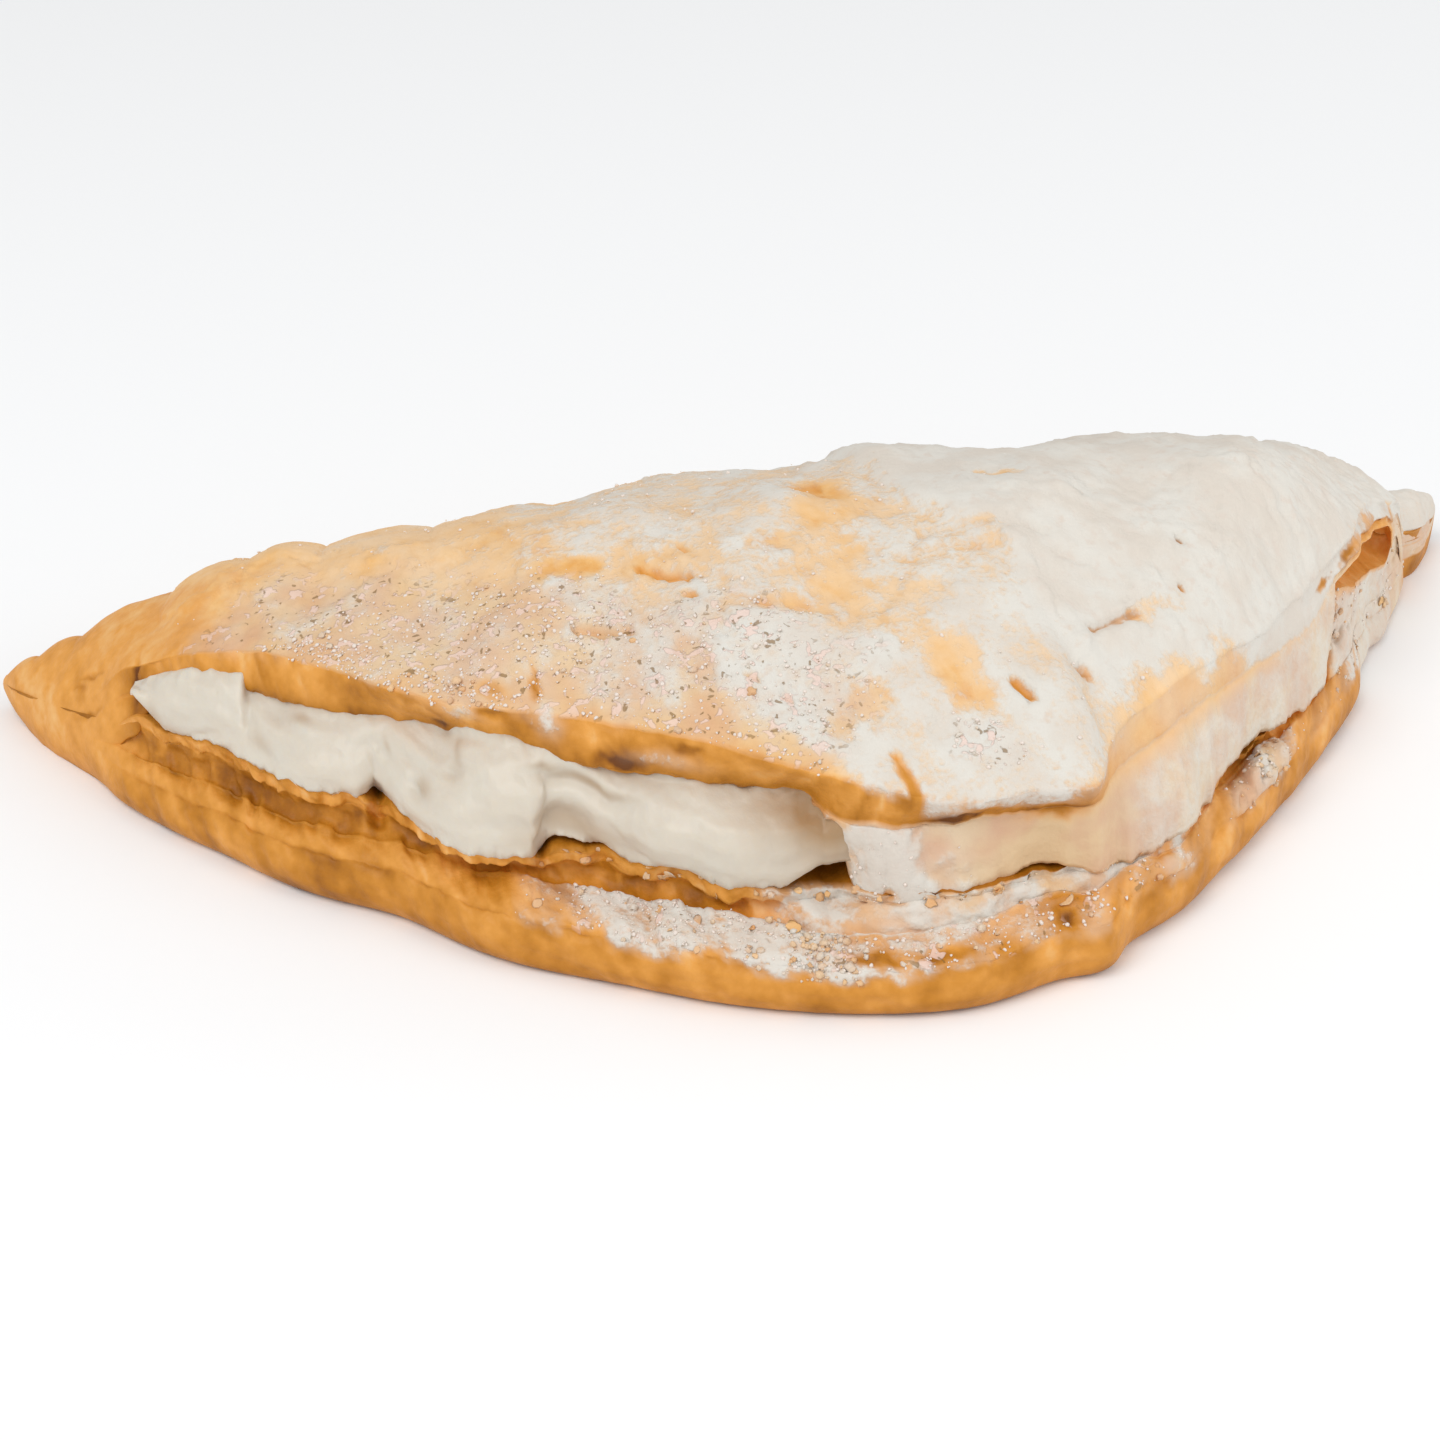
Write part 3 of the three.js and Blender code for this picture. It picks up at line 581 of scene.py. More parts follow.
# ---- what lies where on the lid ----
# The bare band beside the step, as plan points, and the marks on the lid: (start, end, half width, depth,
# toast, sugar taken off).
BAND = [(-2, -30.6), (-4.3, -42.5), (-4.8, -47.9), (-1.3, -53.2), (2.7, -58.1), (5.4, -64.2)]
MARKS = [
    ((-30.4, -36.4), (-26.2, -37.6), 1.5, 0.12, 0.30, 1.0),        # bare oval blister
    ((-23.2, -38.4), (-18.6, -41.2), 2.2, 0.15, 0.05, 0.5),        # bare patch beside it
    ((-22.0, -40.2), (-18.0, -43.6), 0.45, 0.6, 0.6, 0.9),         # slit in that patch
    ((-17.6, -38.6), (-17.2, -39.8), 0.3, 0.4, 0.5, 0.7),
    ((-19.0, -46.1), (-18.2, -46.7), 0.4, 0.4, 0.5, 0.9),
    ((-29.4, -46.0), (-25.0, -48.1), 0.4, 0.7, 0.75, 0.95),        # slit near the brim
    ((-15.8, -49.8), (-8.4, -51.7), 0.8, 0.25, 0.05, 0.5),         # bare streak
    ((-12.6, -50.4), (-10.9, -51.0), 0.4, 0.5, 0.6, 0.9),
    ((-2.0, -30.0), (-0.4, -33.0), 1.7, 0.5, 0.30, 1.0),           # notch at the crown
    ((-1.0, -33.5), (3.0, -38.0), 2.0, 0.2, 0.0, 0.45),
    ((9.1, -63.4), (9.9, -65.0), 0.5, 0.5, 0.7, 1.0),              # short slit beside the step
    ((15.6, -32.4), (18.6, -33.2), 1.2, 0.2, 0.15, 0.8),
    ((5.8, -43.2), (12.0, -44.0), 0.5, 0.4, 0.1, 0.25),            # dents in the sugar
    ((13.9, -43.9), (18.0, -44.6), 0.5, 0.4, 0.1, 0.25),
    ((2.2, -46.3), (6.8, -47.3), 0.5, 0.4, 0.1, 0.3),
    ((6.0, -46.0), (12.5, -46.6), 0.6, 0.35, 0.1, 0.2),
    ((18.5, -47.5), (21.5, -48.0), 0.5, 0.35, 0.1, 0.2),
    ((32.7, -43.6), (32.9, -43.8), 0.4, 0.5, 1.2, 1.0),
    ((31.1, -49.3), (31.3, -49.4), 0.4, 0.5, 1.2, 1.0),
    ((16.7, -60.8), (17.4, -61.3), 0.5, 0.5, 0.8, 0.7),
    ((19.5, -56.0), (25.2, -53.2), 0.35, 0.6, 1.0, 0.7),           # crack on the right
    ((25.2, -53.2), (30.4, -50.3), 1.1, 0.25, 0.0, 0.6),
    ((-8.2, -65.6), (-4.2, -63.4), 1.4, 0.25, 0.12, 0.5),          # bare triangle
    ((2.6, -59.8), (3.4, -64.6), 1.2, 0.1, 0.05, 0.6),             # bare square beside the band
    ((-20.2, -53.5), (-19.4, -61.0), 1.4, 0.25, 0.18, 0.5),        # bare strip at the edge of the sugar
    ((-15.6, -58.4), (-14.9, -58.8), 0.35, 0.4, 0.6, 0.7),
    ((-12.9, -60.9), (-12.4, -61.4), 0.35, 0.4, 0.6, 0.7),
    ((-4.2, -69.6), (-3.6, -73.4), 0.6, 0.8, 0.7, 1.0),            # slit through the brim
]
# The middle of the lid's speckled zone, as a line in plan.
SPECKLED = [(-56, -29), (-47, -36), (-38, -43), (-27, -52), (-14, -60)]


def from_line(x, y, start, end):
    """Distance of plan points from the line between two plan points."""
    ax, ay = start
    bx, by = end
    dx, dy = bx - ax, by - ay
    t = clamp01(((x - ax) * dx + (y - ay) * dy) / max(dx * dx + dy * dy, 1e-9))
    return np.hypot(x - ax - t * dx, y - ay - t * dy)


def from_path(x, y, path):
    """Distance of plan points from the nearest line of a path."""
    return np.min([from_line(x, y, a, b) for a, b in zip(path, path[1:])], 0)


def lid_marks(x, y):
    """Depth, toast and missing sugar of all marks: each falls from full at its line to none a half width
    out, over a ragged border."""
    depth, toast, bare = np.zeros_like(x), np.zeros_like(x), np.zeros_like(x)
    torn = 0.6 * rough(x, y, 2.4, 41, 4)
    for start, end, half, deep, brown_and_shade, taken in MARKS:
        share = smooth(1.7, 0.3, from_line(x, y, start, end) / half + torn)
        depth = np.maximum(depth, deep * share)
        toast = np.maximum(toast, brown_and_shade * share)
        bare = np.maximum(bare, taken * share)
    return depth, toast, bare


# Marks along the open edge: (section, stretch, share of the stretch, half lengths along the edge and up the
# face, toast, sugar, depth). Their toast is partly the crust's own colour and partly painted shade.
LID_EDGE_MARKS = [
    # pits, crevices and the lip's underside: dents whose browning is painted shade
    (0.371, "lip", 0.20, 2.2, 1.1, 0.60, 0.0, 0.45),       # brown pits and crevices of the lip
    (0.317, "lip", 0.80, 1.9, 0.7, 0.38, -0.5, 0.25),
    (0.291, "lip", 0.18, 0.7, 0.7, 0.35, 0.0, 0.15),
    (0.339, "front", 0.17, 0.5, 2.0, 0.45, -1.0, 0.40),
    (0.404, "lip", 0.62, 1.8, 0.6, 0.42, 0.0, 0.25),
    (0.513, "lip", 0.27, 2.1, 0.9, 0.45, -1.0, 0.20),
    (0.552, "ply", 0.92, 2.6, 0.8, 0.50, -1.0, 0.20),
    (0.767, "lip", 0.55, 3.0, 0.8, 0.36, -1.0, 0.20),
    (0.785, "lip", 0.45, 2.4, 0.5, 0.40, -1.0, 0.20),
    (0.812, "lip", 0.55, 2.4, 0.6, 0.20, -0.7, 0.10),
    (0.485, "ply", 0.06, 0.6, 0.6, 0.50, -1.0, 0.40),
    (0.500, "ply", 0.04, 0.5, 0.4, 0.50, -1.0, 0.30),
    (0.249, "lip", 0.60, 4.8, 1.2, 0.14, -0.3, 0.0),       # ochre patches
    (0.317, "front", 0.10, 1.6, 1.0, 0.30, -0.6, 0.1),
    (0.432, "lip", 0.95, 4.2, 1.0, 0.16, -1.0, 0.0),
    (0.461, "lip", 0.70, 3.6, 1.1, 0.12, -0.5, 0.0),
    (0.488, "lip", 0.68, 1.4, 1.0, 0.28, -1.0, 0.1),
    (0.344, "lip", 0.85, 1.3, 1.7, -0.10, 0.6, -0.1),      # pale patches
    (0.395, "lip", 0.35, 3.6, 0.8, -0.10, 0.4, 0.0),
    (0.303, "lip", 0.70, 2.0, 0.8, -0.10, 0.4, 0.0),
    (0.118, "lip", 0.32, 0.4, 2.6, 0.42, 0.0, 0.35),       # creases of the left tip
    (0.082, "front", 0.22, 1.7, 0.35, 0.30, 0.0, 0.30),
    (0.074, "front", 0.12, 1.0, 0.3, 0.20, 0.0, 0.25),
    (0.085, "lip", 0.30, 2.0, 0.4, 0.20, 0.0, 0.15),
]
# The pit at 0.553, the dents in the groove and the slits in the crust at 0.486 and 0.502 are darkened as
# painted shade in them.
BASE_EDGE_MARKS = [
    (0.553, "shoulder", 0.30, 1.0, 1.2, 0.55, -1.0, 0.45),
    (0.472, "shoulder", 0.30, 2.2, 0.7, 0.30, -1.0, 0.12),
    (0.497, "shoulder", 0.30, 2.6, 0.6, 0.28, -1.0, 0.12),
    (0.430, "crust", 0.5, 6.0, 0.8, 0.12, 0.0, 0.0),
    (0.120, "groove", 0.5, 2.2, 1.2, 0.24, 0.0, 0.30),
    (0.190, "groove", 0.4, 5.0, 1.4, 0.14, 0.0, 0.15),
    (0.252, "groove", 0.6, 3.0, 0.8, 0.16, 0.0, 0.20),
    (0.278, "groove", 0.5, 1.6, 0.7, 0.16, 0.0, 0.20),
    (0.486, "crust", 0.5, 0.7, 0.7, 0.60, -1.4, 0.4),
    (0.502, "crust", 0.5, 0.6, 0.5, 0.60, -1.4, 0.3),
    (0.520, "side", 0.92, 5.0, 1.6, 0.10, -0.5, 0.0),
]


def edge_marks(marks, g):
    """Toast, sugar and depth that the marks add, full at each mark's middle and fading out round it."""
    wander = g.along + 0.5 * noise(g.along, g.down, 1.6, 161)
    drop = g.down + 0.4 * noise(g.along, g.down, 1.3, 162)
    toast, sugar, depth = (np.zeros_like(g.down) for _ in range(3))
    for at, stretch_name, share, long, high, brown_and_shade, white, deep in marks:
        k = np.flatnonzero((g.names == stretch_name) & (g.shares >= share))[0]
        spot = bell(wander, at * EDGE_LENGTH, long) * bell(drop, g.down[:, k:k + 1], high)
        toast += brown_and_shade * spot
        sugar += white * spot
        depth += deep * spot
    return toast, sugar, depth


def band_share(x, y):
    """1 on the bare band beside the step, with a ragged border."""
    wide = 2.2 + 1.6 * bell(y, -52, 5) + 1.5 * bell(y, -42, 4)
    return smooth(1.6, 0.3, from_path(x, y, BAND) / wide + 0.7 * rough(x, y, 4.5, 43, 4))


# How far above the brim the sugar ends, in millimetres.
sugar_edge = through([
    (0, 0), (0.19, 0.2), (0.22, 0.4), (0.26, -0.6), (0.31, -1), (0.34, 0.2), (0.37, 1.2), (0.4, 1.6),
    (0.43, 1.9), (0.455, 1), (0.475, -0.4), (0.49, -1.2), (0.5, -1.4), (0.555, -1.4), (0.575, 0),
    (0.6, 1.3), (0.66, 1.2), (0.69, 0), (0.72, -1.5), (0.76, -2), (0.79, -0.6), (1, -0.6)])


def lid_sugar(x, y, s, up):
    """How much icing sugar lies on the lid, 0 to 1: heavy right of the step and along the front, patchy
    in the middle, a haze on the left, none at the left tip and below the brim."""
    right = 1.5 * smooth(-5, 4.5, x - step_x(-y) + 2.5 * rough(x, y, 7, 51, 4))
    front = smooth(-25, -14, x + 4 * rough(x, y, 5, 52, 4)) * smooth(-44, -54, y)
    middle = 0.68 * smooth(-42, -22, x + 3 * rough(x, y, 8, 54))
    speckled = 0.37 * smooth(13, 3, from_path(x, y, SPECKLED) + 2.5 * rough(x, y, 5, 55))
    back = 0.26 * smooth(-74, -46, x)
    far_back = 0.72 * smooth(-26, -8, x) * smooth(-42, -30, y)
    amount = np.max([right, 0.85 * front, middle, speckled, back, far_back], 0)
    brim_line = brim_up(s) + sugar_edge(s)
    soft = mix(1.4, 3.0, smooth(0.55, 0.6, s))
    wander = 1.2 * rough(x + 0.7 * up, y - 0.7 * up, 7, 53, 4)
    return amount * smooth(brim_line - soft, brim_line + soft, up + wander)


def tip_relief(x, y):
    """Soft dents of the shut left tip, the same on the lid and on the base."""
    return 0.16 * noise(x, y, 6, 151) + 0.1 * noise(x, y, 2.6, 152)


def tip_gold(x, y, up):
    """How toasted the shut tips are: even gold with soft patches."""
    return 0.36 + 0.1 * rough(x + up, y - up, 6, 96)


# ---- the lid ----
# Brown and pale lengths of the lip: (section, half length in shares of the edge, toast).
LIP_TOAST = [(0.5, 0.05, 0.06), (0.34, 0.02, 0.1), (0.555, 0.03, 0.1), (0.472, 0.016, -0.13)]


def ply_patches(x, y):
    """Thin plies that end within the lid: each is one ply's thickness high where a noise is above its
    level, with a border 0.3 mm wide. Returns their height and where their borders are."""
    warp_x = x + 1.6 * rough(x, y, 3.5, 61)
    warp_y = y + 1.6 * rough(x, y, 3.5, 62)
    height, edge = np.zeros_like(x), np.zeros_like(x)
    for seed, cell, level, thick in ((63, 17, 0.12, 0.35), (64, 12, 0.25, 0.25), (65, 8, 0.3, 0.2)):
        hill = noise(warp_x, warp_y, cell, seed)
        ramp = 0.35 / cell
        height += thick * smooth(level - ramp, level + ramp, hill)
        edge = np.maximum(edge, bell(hill, level - ramp, 1.6 * ramp))
    return height, edge


def lid_powder(g, bare):
    """Icing sugar on the lid: its zones, less the marks and the bare band, broken up into patches, and
    all white on top of the nub at the right tip."""
    x, y, up = g.x, g.y, g.up
    sugar = lid_sugar(x, y, g.column, up) * (g.top + g.lip)
    sugar = sugar * (1 - bare) * (1 - 0.55 * g.band)
    patches = rough(x + up, y - up, 4.5, 71, 5)
    broken = sugar + 0.9 * patches * sugar * np.maximum(1.1 - sugar, 0)
    sugar = np.where(sugar > 0.02, np.clip(broken, 0, 1.4), 0)
    nub = smooth(0.91, 0.945, g.column + 0.012 * rough(x + up, y - up, 5, 74, 4))
    share_up = up / np.maximum(up.max(1, keepdims=True), 1)
    return np.maximum(sugar, nub * g.top * smooth(0.3, 0.6, share_up))


def lid_specks(g):
    """Where burnt specks and clumps of sugar dot the lid: the speckled zone and a spot near the front
    corner, both above the brim."""
    x, y, column = g.x, g.y, g.column
    zone = smooth(12, 5, from_path(x, y, SPECKLED) + 3 * rough(x, y, 6, 72)) * g.top
    front_spot = smooth(4, 1.5, np.hypot(x - 4.5, y + 69) + 1.5 * noise(x, y, 3, 73)) * g.top
    return np.maximum(zone, front_spot) * smooth(brim_up(column) - 1.5, brim_up(column) + 0.5, g.up)


def lip_grain(g):
    """The grain of the lip: a fine upright comb, how strong it is from place to place, worn patches, and
    the relief that they make together."""
    along, down = g.along, g.down
    comb = rough(along + 0.5 * noise(along, down, 4, 79), 0.35 * down, 3.0, 86, 4)
    strong = clamp01(0.4 + 0.9 * noise(along, down, 9, 89))
    worn = rough(along, down, 3.2, 78, 3)
    streaks = 0.12 * comb * strong + 0.3 * noise(along, 0.6 * down, 6, 87) + 0.16 * worn
    return comb, strong, worn, streaks


def lid_relief(g, sugar, speck, plies, mark_depth, streaks):
    """How far each point moves out, in millimetres. On top: plies that end, pressed marks, bumps and the
    sugar's thickness. On the lip and the inner ply's face: streaks and thin sheets. At the shut tip: soft
    dents."""
    x, y, along, down = g.x, g.y, g.along, g.down
    calm = mix(0.5, 1.0, smooth(-50, -25, x))
    bumps = 0.30 * noise(x, y, 9, 81) + 0.18 * noise(x, y, 4.2, 82) + 0.10 * noise(x, y, 1.9, 83)
    bumps += 0.05 * noise(x, y, 0.9, 84)
    crusted = 0.30 * sugar + 0.10 * sugar * rough(x, y, 1.6, 85) + 0.12 * speck * noise(x, y, 1.1, 94)
    sheets = 0.2 * noise(along * 0.3, down, 1.4, 88) * clamp01(0.5 + noise(along, down, 6, 90))
    settled = mix(0.6, 1.0, smooth(-5, 10, x - step_x(-y)))
    move = g.top * g.on_lid * (plies * 0.8 - mark_depth + 0.2 * (1 - g.band) - settled)
    move += g.top * (bumps * calm + crusted)
    move += g.lip * (streaks * mix(1, 0.4, g.hanging) + 0.4 * sheets)
    move += g.face * (mix(0.5, 0.25, g.hanging) * streaks + mix(1, 0.4, g.hanging) * sheets) * g.opened
    return mix(move, tip_relief(x, y), g.shut)


def lid_toast(g, grain, ply_edge, mark_toast):
    """How brown the lid is, from 0, straw, to 1, burnt: pale on top with browner marks and ply borders,
    golden on the lip, pale on the inner ply right of the cream, and even gold at the shut tips. The same
    number holds painted shade: brown on the inner ply's face under the lip left of that, darker towards the
    lip's lower edge by the cream and in the low parts of its grain, and darker in the scoop where the gap
    opens at the left."""
    x, y, up, along, down, column = g.x, g.y, g.up, g.along, g.down, g.column
    comb, strong, worn, streaks = grain
    # painted shade: the last term darkens the lip towards its lower edge, where it overhangs the cream
    lip_toast = 0.44 + 0.16 * comb * strong + 0.14 * noise(along, down, 7, 91) + 0.22 * (1 - g.shares) ** 3
    lip_toast += sum(more * bell(column, at, wide) for at, wide, more in LIP_TOAST)
    # painted shade: the lip is a little darker where its relief sinks and paler on its ridges; worn patches
    # are browner
    lip_toast -= 0.15 * streaks - 0.12 * worn
    ochre, pale = noise(along, down * 0.8, 4.2, 98), noise(along, down, 3.4, 99)
    lip_toast += 0.14 * (smooth(0.15, 0.6, ochre) - 0.7 * smooth(0.2, 0.7, pale))
    lip_toast = mix(lip_toast, 0.24 + 0.08 * comb, g.hanging)
    # painted shade: the inner ply's face under the lip is brown left of the cream's end
    face_toast = mix(mix(0.66, 0.30, smooth(0.452, 0.468, column)), 0.12, g.apron)
    top_toast = mix(0.10, 0.27, smooth(-48, -70, x)) + 0.08 * rough(x, y, 6, 92) + 0.5 * mark_toast
    top_toast += 0.12 * ply_edge * g.on_lid * smooth(-50, -30, x)
    brim_reach = smooth(0.1, 0.16, column) * smooth(0.5, 0.4, column)
    brim_toast = 0.14 * bell(up, brim_up(column), 1.8) * brim_reach
    toast = g.top * top_toast + g.front * brim_toast + g.lip * lip_toast + g.face * face_toast
    away_from_tips = np.maximum(g.opened * (1 - g.shut), g.top * smooth(-78, -62, x))
    toast = mix(tip_gold(x, y, up), toast, away_from_tips)
    # painted shade in the scoop where the gap between lid and base opens at the left
    toast += 0.26 * bell(column, 0.118, 0.010) * np.maximum(g.face, g.lip)
    roof_toast = mix(0.5, 0.34, smooth(0.785, 0.8, column))
    return toast + within(g.names, "roof") * roof_toast + within(g.names, "heel") * 0.1


def cream_smear(g):
    """Cream and sugar on the left end of the inner ply: a thin smear, and a dab with a ragged border that
    leans to the right towards its foot."""
    column, shares, along, down = g.column, g.shares, g.along, g.down
    smear = 0.4 * smooth(0.46, 0.475, column) * smooth(0.54, 0.5, column) * g.face
    smear = smear * smooth(-0.6, 0.4, noise(along, down, 4, 95))
    from_middle = np.abs(column - 0.480 - 0.012 * (1 - shares) ** 2)
    half_width = 0.015 * (1.2 - 0.5 * shares)
    dab = smooth(2.3, 0.1, from_middle / half_width + 0.7 * rough(along, down, 3, 97)) * g.face
    return np.maximum(smear, dab), dab


def make_lid():
    """The lid, moved out by its relief, and its surface with what lies on it. toast, dust, inner and speck
    are what the material reads."""
    g = laid_out(LID_STATIONS, lid_profile)
    x, y, column, shares, names = g.x, g.y, g.column, g.shares, g.names
    g.face, g.lip = within(names, "ply"), within(names, "lip")
    g.top, g.front = within(names, "front", "back"), within(names, "front")
    g.opened = smooth(0.1, 0.14, column) * smooth(0.96, 0.94, column)
    g.apron = smooth(0.46, 0.48, column) * smooth(0.83, 0.8, column)
    g.hanging, g.band = right_apron(column), band_share(x, y)
    shown = within(names, "roof", "ply", "lip", "front", "back", "heel", blur=5)

    mark_depth, mark_toast, bare = lid_marks(x, y)
    edge_toast, edge_sugar, edge_depth = edge_marks(LID_EDGE_MARKS, g)
    plies, ply_edge = ply_patches(x, y)
    sugar, speck, grain = lid_powder(g, bare), lid_specks(g), lip_grain(g)
    smear, dab = cream_smear(g)

    move = lid_relief(g, sugar, speck, plies, mark_depth, grain[-1]) - edge_depth
    points = g.points + g.normal * (move * g.tips * shown)[..., None]
    points = points + g.normal * (0.8 * dab * shown)[..., None]

    toast = lid_toast(g, grain, ply_edge, mark_toast) + edge_toast
    upper_gold = smooth(0.55, 1.0, shares) * g.hanging
    corner = smooth(0.9, 0.912, column) * np.maximum(g.face, g.lip)
    inner = g.face * g.apron * (1 - 0.7 * upper_gold) + 0.4 * g.lip * g.hanging + 0.72 * speck
    inner = np.maximum(inner, 0.8 * corner) * (1 - clamp01(2.5 * edge_toast))
    streaky = smooth(-0.5, 0.6, noise(g.along * 0.6, g.down, 3.5, 93))
    powdered = smooth(0.578, 0.612, column) * g.hanging * g.face
    powdered = powdered * (0.5 + 0.15 * streaky) * (1 - 0.9 * upper_gold * smooth(0.74, 0.7, column))
    dust = sugar + powdered + smear + 0.45 * corner
    dust += (0.3 * streaky + 0.7 * smooth(0.68, 0.725, column)) * g.hanging * g.lip
    dust = np.clip(dust + edge_sugar, 0, 1.4)
    piece = tube_piece("lid", points, TIPS, "pastry", "pastry",
                       toast=toast, sugar=dust, inner=inner, speck=speck)

    brim_row = (smooth(0.2, 0.215, column) * smooth(0.325, 0.305, column)
                * bell(g.up, brim_up(column) + 0.2, 0.6))
    grains = (0.8 * speck * smooth(-29, -34, y) + 0.15 * dust * (1 - dust)) * g.top
    grains += 2.0 * brim_row * g.front + 0.3 * smear
    crumbs = 0.03 * speck * smooth(-31, -37, y) + 0.35 * brim_row * g.front
    return piece, surface_of(points, grains=grains, crumbs=crumbs, flakes=0 * crumbs)


# ---- the base ----
# How much icing sugar lies on the base's shoulder, and on the crust and floor beside the cream.
shoulder_dust = through([
    (0, 0), (0.32, 0), (0.34, 0.35), (0.36, 0.75), (0.43, 0.9), (0.455, 0.75), (0.475, 0.7), (0.505, 0.52),
    (0.54, 0.3), (0.585, 0.2), (0.61, 0.35), (0.64, 0.1), (0.68, 0.1), (0.7, 0.5), (0.73, 0.45),
    (0.75, 0.1), (0.8, 0.1), (0.82, 0.6), (0.9, 0.5), (0.93, 0.2), (1, 0)])
ledge_dust = through([
    (0, 0), (0.425, 0), (0.442, 0.7), (0.48, 0.66), (0.52, 0.62), (0.56, 0.66), (0.6, 0.7), (0.64, 0.3),
    (0.68, 0), (1, 0)])
# Lumps of loose crumb on the shoulder: (section, half length in shares of the edge, height in millimetres).
SHOULDER_LUMPS = [(0.676, 0.008, 1.2), (0.695, 0.011, 1.8), (0.716, 0.008, 1.2), (0.612, 0.008, 0.7)]


def base_grain(g):
    """How uneven the base is: broad lumps, thin seams between plies, pits where steam has opened the
    plies of the groove, and chunks of loose crumb on the shoulder."""
    along, down, up, column, shares = g.along, g.down, g.up, g.column, g.shares
    lumps = 0.4 * noise(along, down, 7, 101) + 0.2 * noise(along + 0.3 * down, down, 3.2, 102)
    lumps += 0.07 * noise(along, down, 1.3, 103)
    seams = 0.07 * noise(along * 0.18, up, 0.9, 104)
    slant = along + 0.9 * noise(along, up, 2.4, 119) + 0.25 * up
    pitted = noise(slant, up * 0.7, 3.1, 105) + 0.45 * noise(slant, up, 1.4, 112)
    pits = smooth(-0.1, 0.4, pitted) * g.open_groove
    pits = pits * smooth(0.46, 0.42, column) * (1 - g.groove * smooth(0.45, 0.8, shares))
    chunk = sum(high * bell(column, at, wide) for at, wide, high in SHOULDER_LUMPS)
    chunk = chunk * g.shoulder * np.sin(np.pi * clamp01(shares + 0.1))
    return lumps, seams, pits, chunk * (1 + 0.6 * rough(along, down, 2.4, 114, 4))


def base_powder(g, uneven):
    """Icing sugar on the base: a heap on the shoulder that runs out down the side, and a layer on the crust
    and in the groove where it is closed, all broken up into patches."""
    reach = clamp01(np.where(g.side > 0.5, g.shares - 1, g.shares) + 0.25 + 0.35 * uneven)
    dust = g.upper * shoulder_dust(g.column) * smooth(0.0, 0.35, reach)
    ledge = ledge_dust(g.column)
    dust += g.crust * ledge + g.groove * ledge * (1 - g.open_groove)
    return np.where(dust > 0.02, clamp01(dust + 1.5 * uneven * dust * (1.15 - dust)), 0)


def base_relief(g, grain, dust):
    """How far each point moves out, in millimetres: the grain, the sugar's thickness, and the torn look of
    the thin crust edge. The flap at the right is calmer, and the shut tip has soft dents."""
    along, down, column, shares = g.along, g.down, g.column, g.shares
    lumps, seams, pits, chunk = grain
    in_groove = smooth(0, 0.4, shares)
    move = g.side * smooth(0.3, 2.5, g.up) * (lumps + seams)
    move += g.shoulder * (0.8 * lumps + seams - 0.5 * pits * smooth(0.2, 1.0, shares))
    move += chunk
    move += g.groove * (mix(0.8 * lumps + seams, 0.5 * seams, in_groove) - mix(0.5, 0.3, in_groove) * pits)
    move += (0.45 * g.upper + 0.12 * g.crust) * dust * (1 + 0.5 * rough(along, down, 1.4, 113))
    torn = smooth(0.12, 0.14, column) * smooth(0.56, 0.52, column)
    move += 0.3 * g.crust * torn * rough(along, down, 1.6, 118, 2)
    move += 0.35 * g.front_ledge * (g.crust + g.groove) * rough(along, down, 2.6, 120, 3)
    move *= 1 - 0.75 * g.flap
    return mix(move, tip_relief(g.x, g.y) * (1 - within(g.names, "sole")), g.shut)


def base_toast(g, grain):
    """How brown the base is, from 0, straw, to 1, burnt, stretch by stretch: browner towards the plate and on
    the pocket's floor, and even gold at the shut tips. The same number holds painted shade: darker in the
    hollows of the side and shoulder, in the pits, where the groove is open under the crust edge, and at the
    shoulder's top beside that opening."""
    along, down, up, column, shares = g.along, g.down, g.up, g.column, g.shares
    lumps, seams, pits, _ = grain
    side = 0.48 + 0.2 * rough(along, down, 7, 107) + 0.06 * noise(along * 0.3, up, 1.2, 108)
    # painted shade: the last term darkens the hollows between the lumps and seams
    side += 0.14 * smooth(4, 0.5, up) + 0.1 * bell(column, 0.22, 0.1) - 0.15 * (lumps + seams)
    side += 0.12 * noise(along, 0.25 * up, 2.4, 121) * smooth(0.3, 0.9, shares) * smooth(0.44, 0.4, column)
    groove = 0.42 + 0.1 * rough(along, up, 1.5, 109) + 0.14 * noise(along, up, 5, 117)
    groove += 0.12 * smooth(0.32, 0.26, column) * smooth(0.1, 0.14, column)
    # painted shade: darker where the groove is open under the crust edge, and most in its pits
    groove += g.open_groove * (0.08 + 0.2 * pits + 0.14 * noise(along, 0.3 * up, 1.8, 122))
    # painted shade: the shoulder is darker in its pits and its hollows, and at its top by the open groove
    shoulder = (0.45 + 0.14 * rough(along, down, 4, 110) + 0.2 * pits * smooth(0.3, 1.0, shares)
                - 0.15 * lumps)
    shoulder += 0.06 * smooth(0.5, 1.0, shares) * g.open_groove
    hole = smooth(0.785, 0.8, column) * smooth(0.92, 0.91, column)
    floor = mix(mix(0.72, 0.5, smooth(0.15, 0.13, column)), 0.34, hole)
    crust = 0.40 + 0.22 * rough(along, down, 2.6, 115)
    toast = g.side * side + g.shoulder * shoulder + g.groove * np.minimum(groove, 0.72) + g.crust * crust
    return toast + g.floor * floor


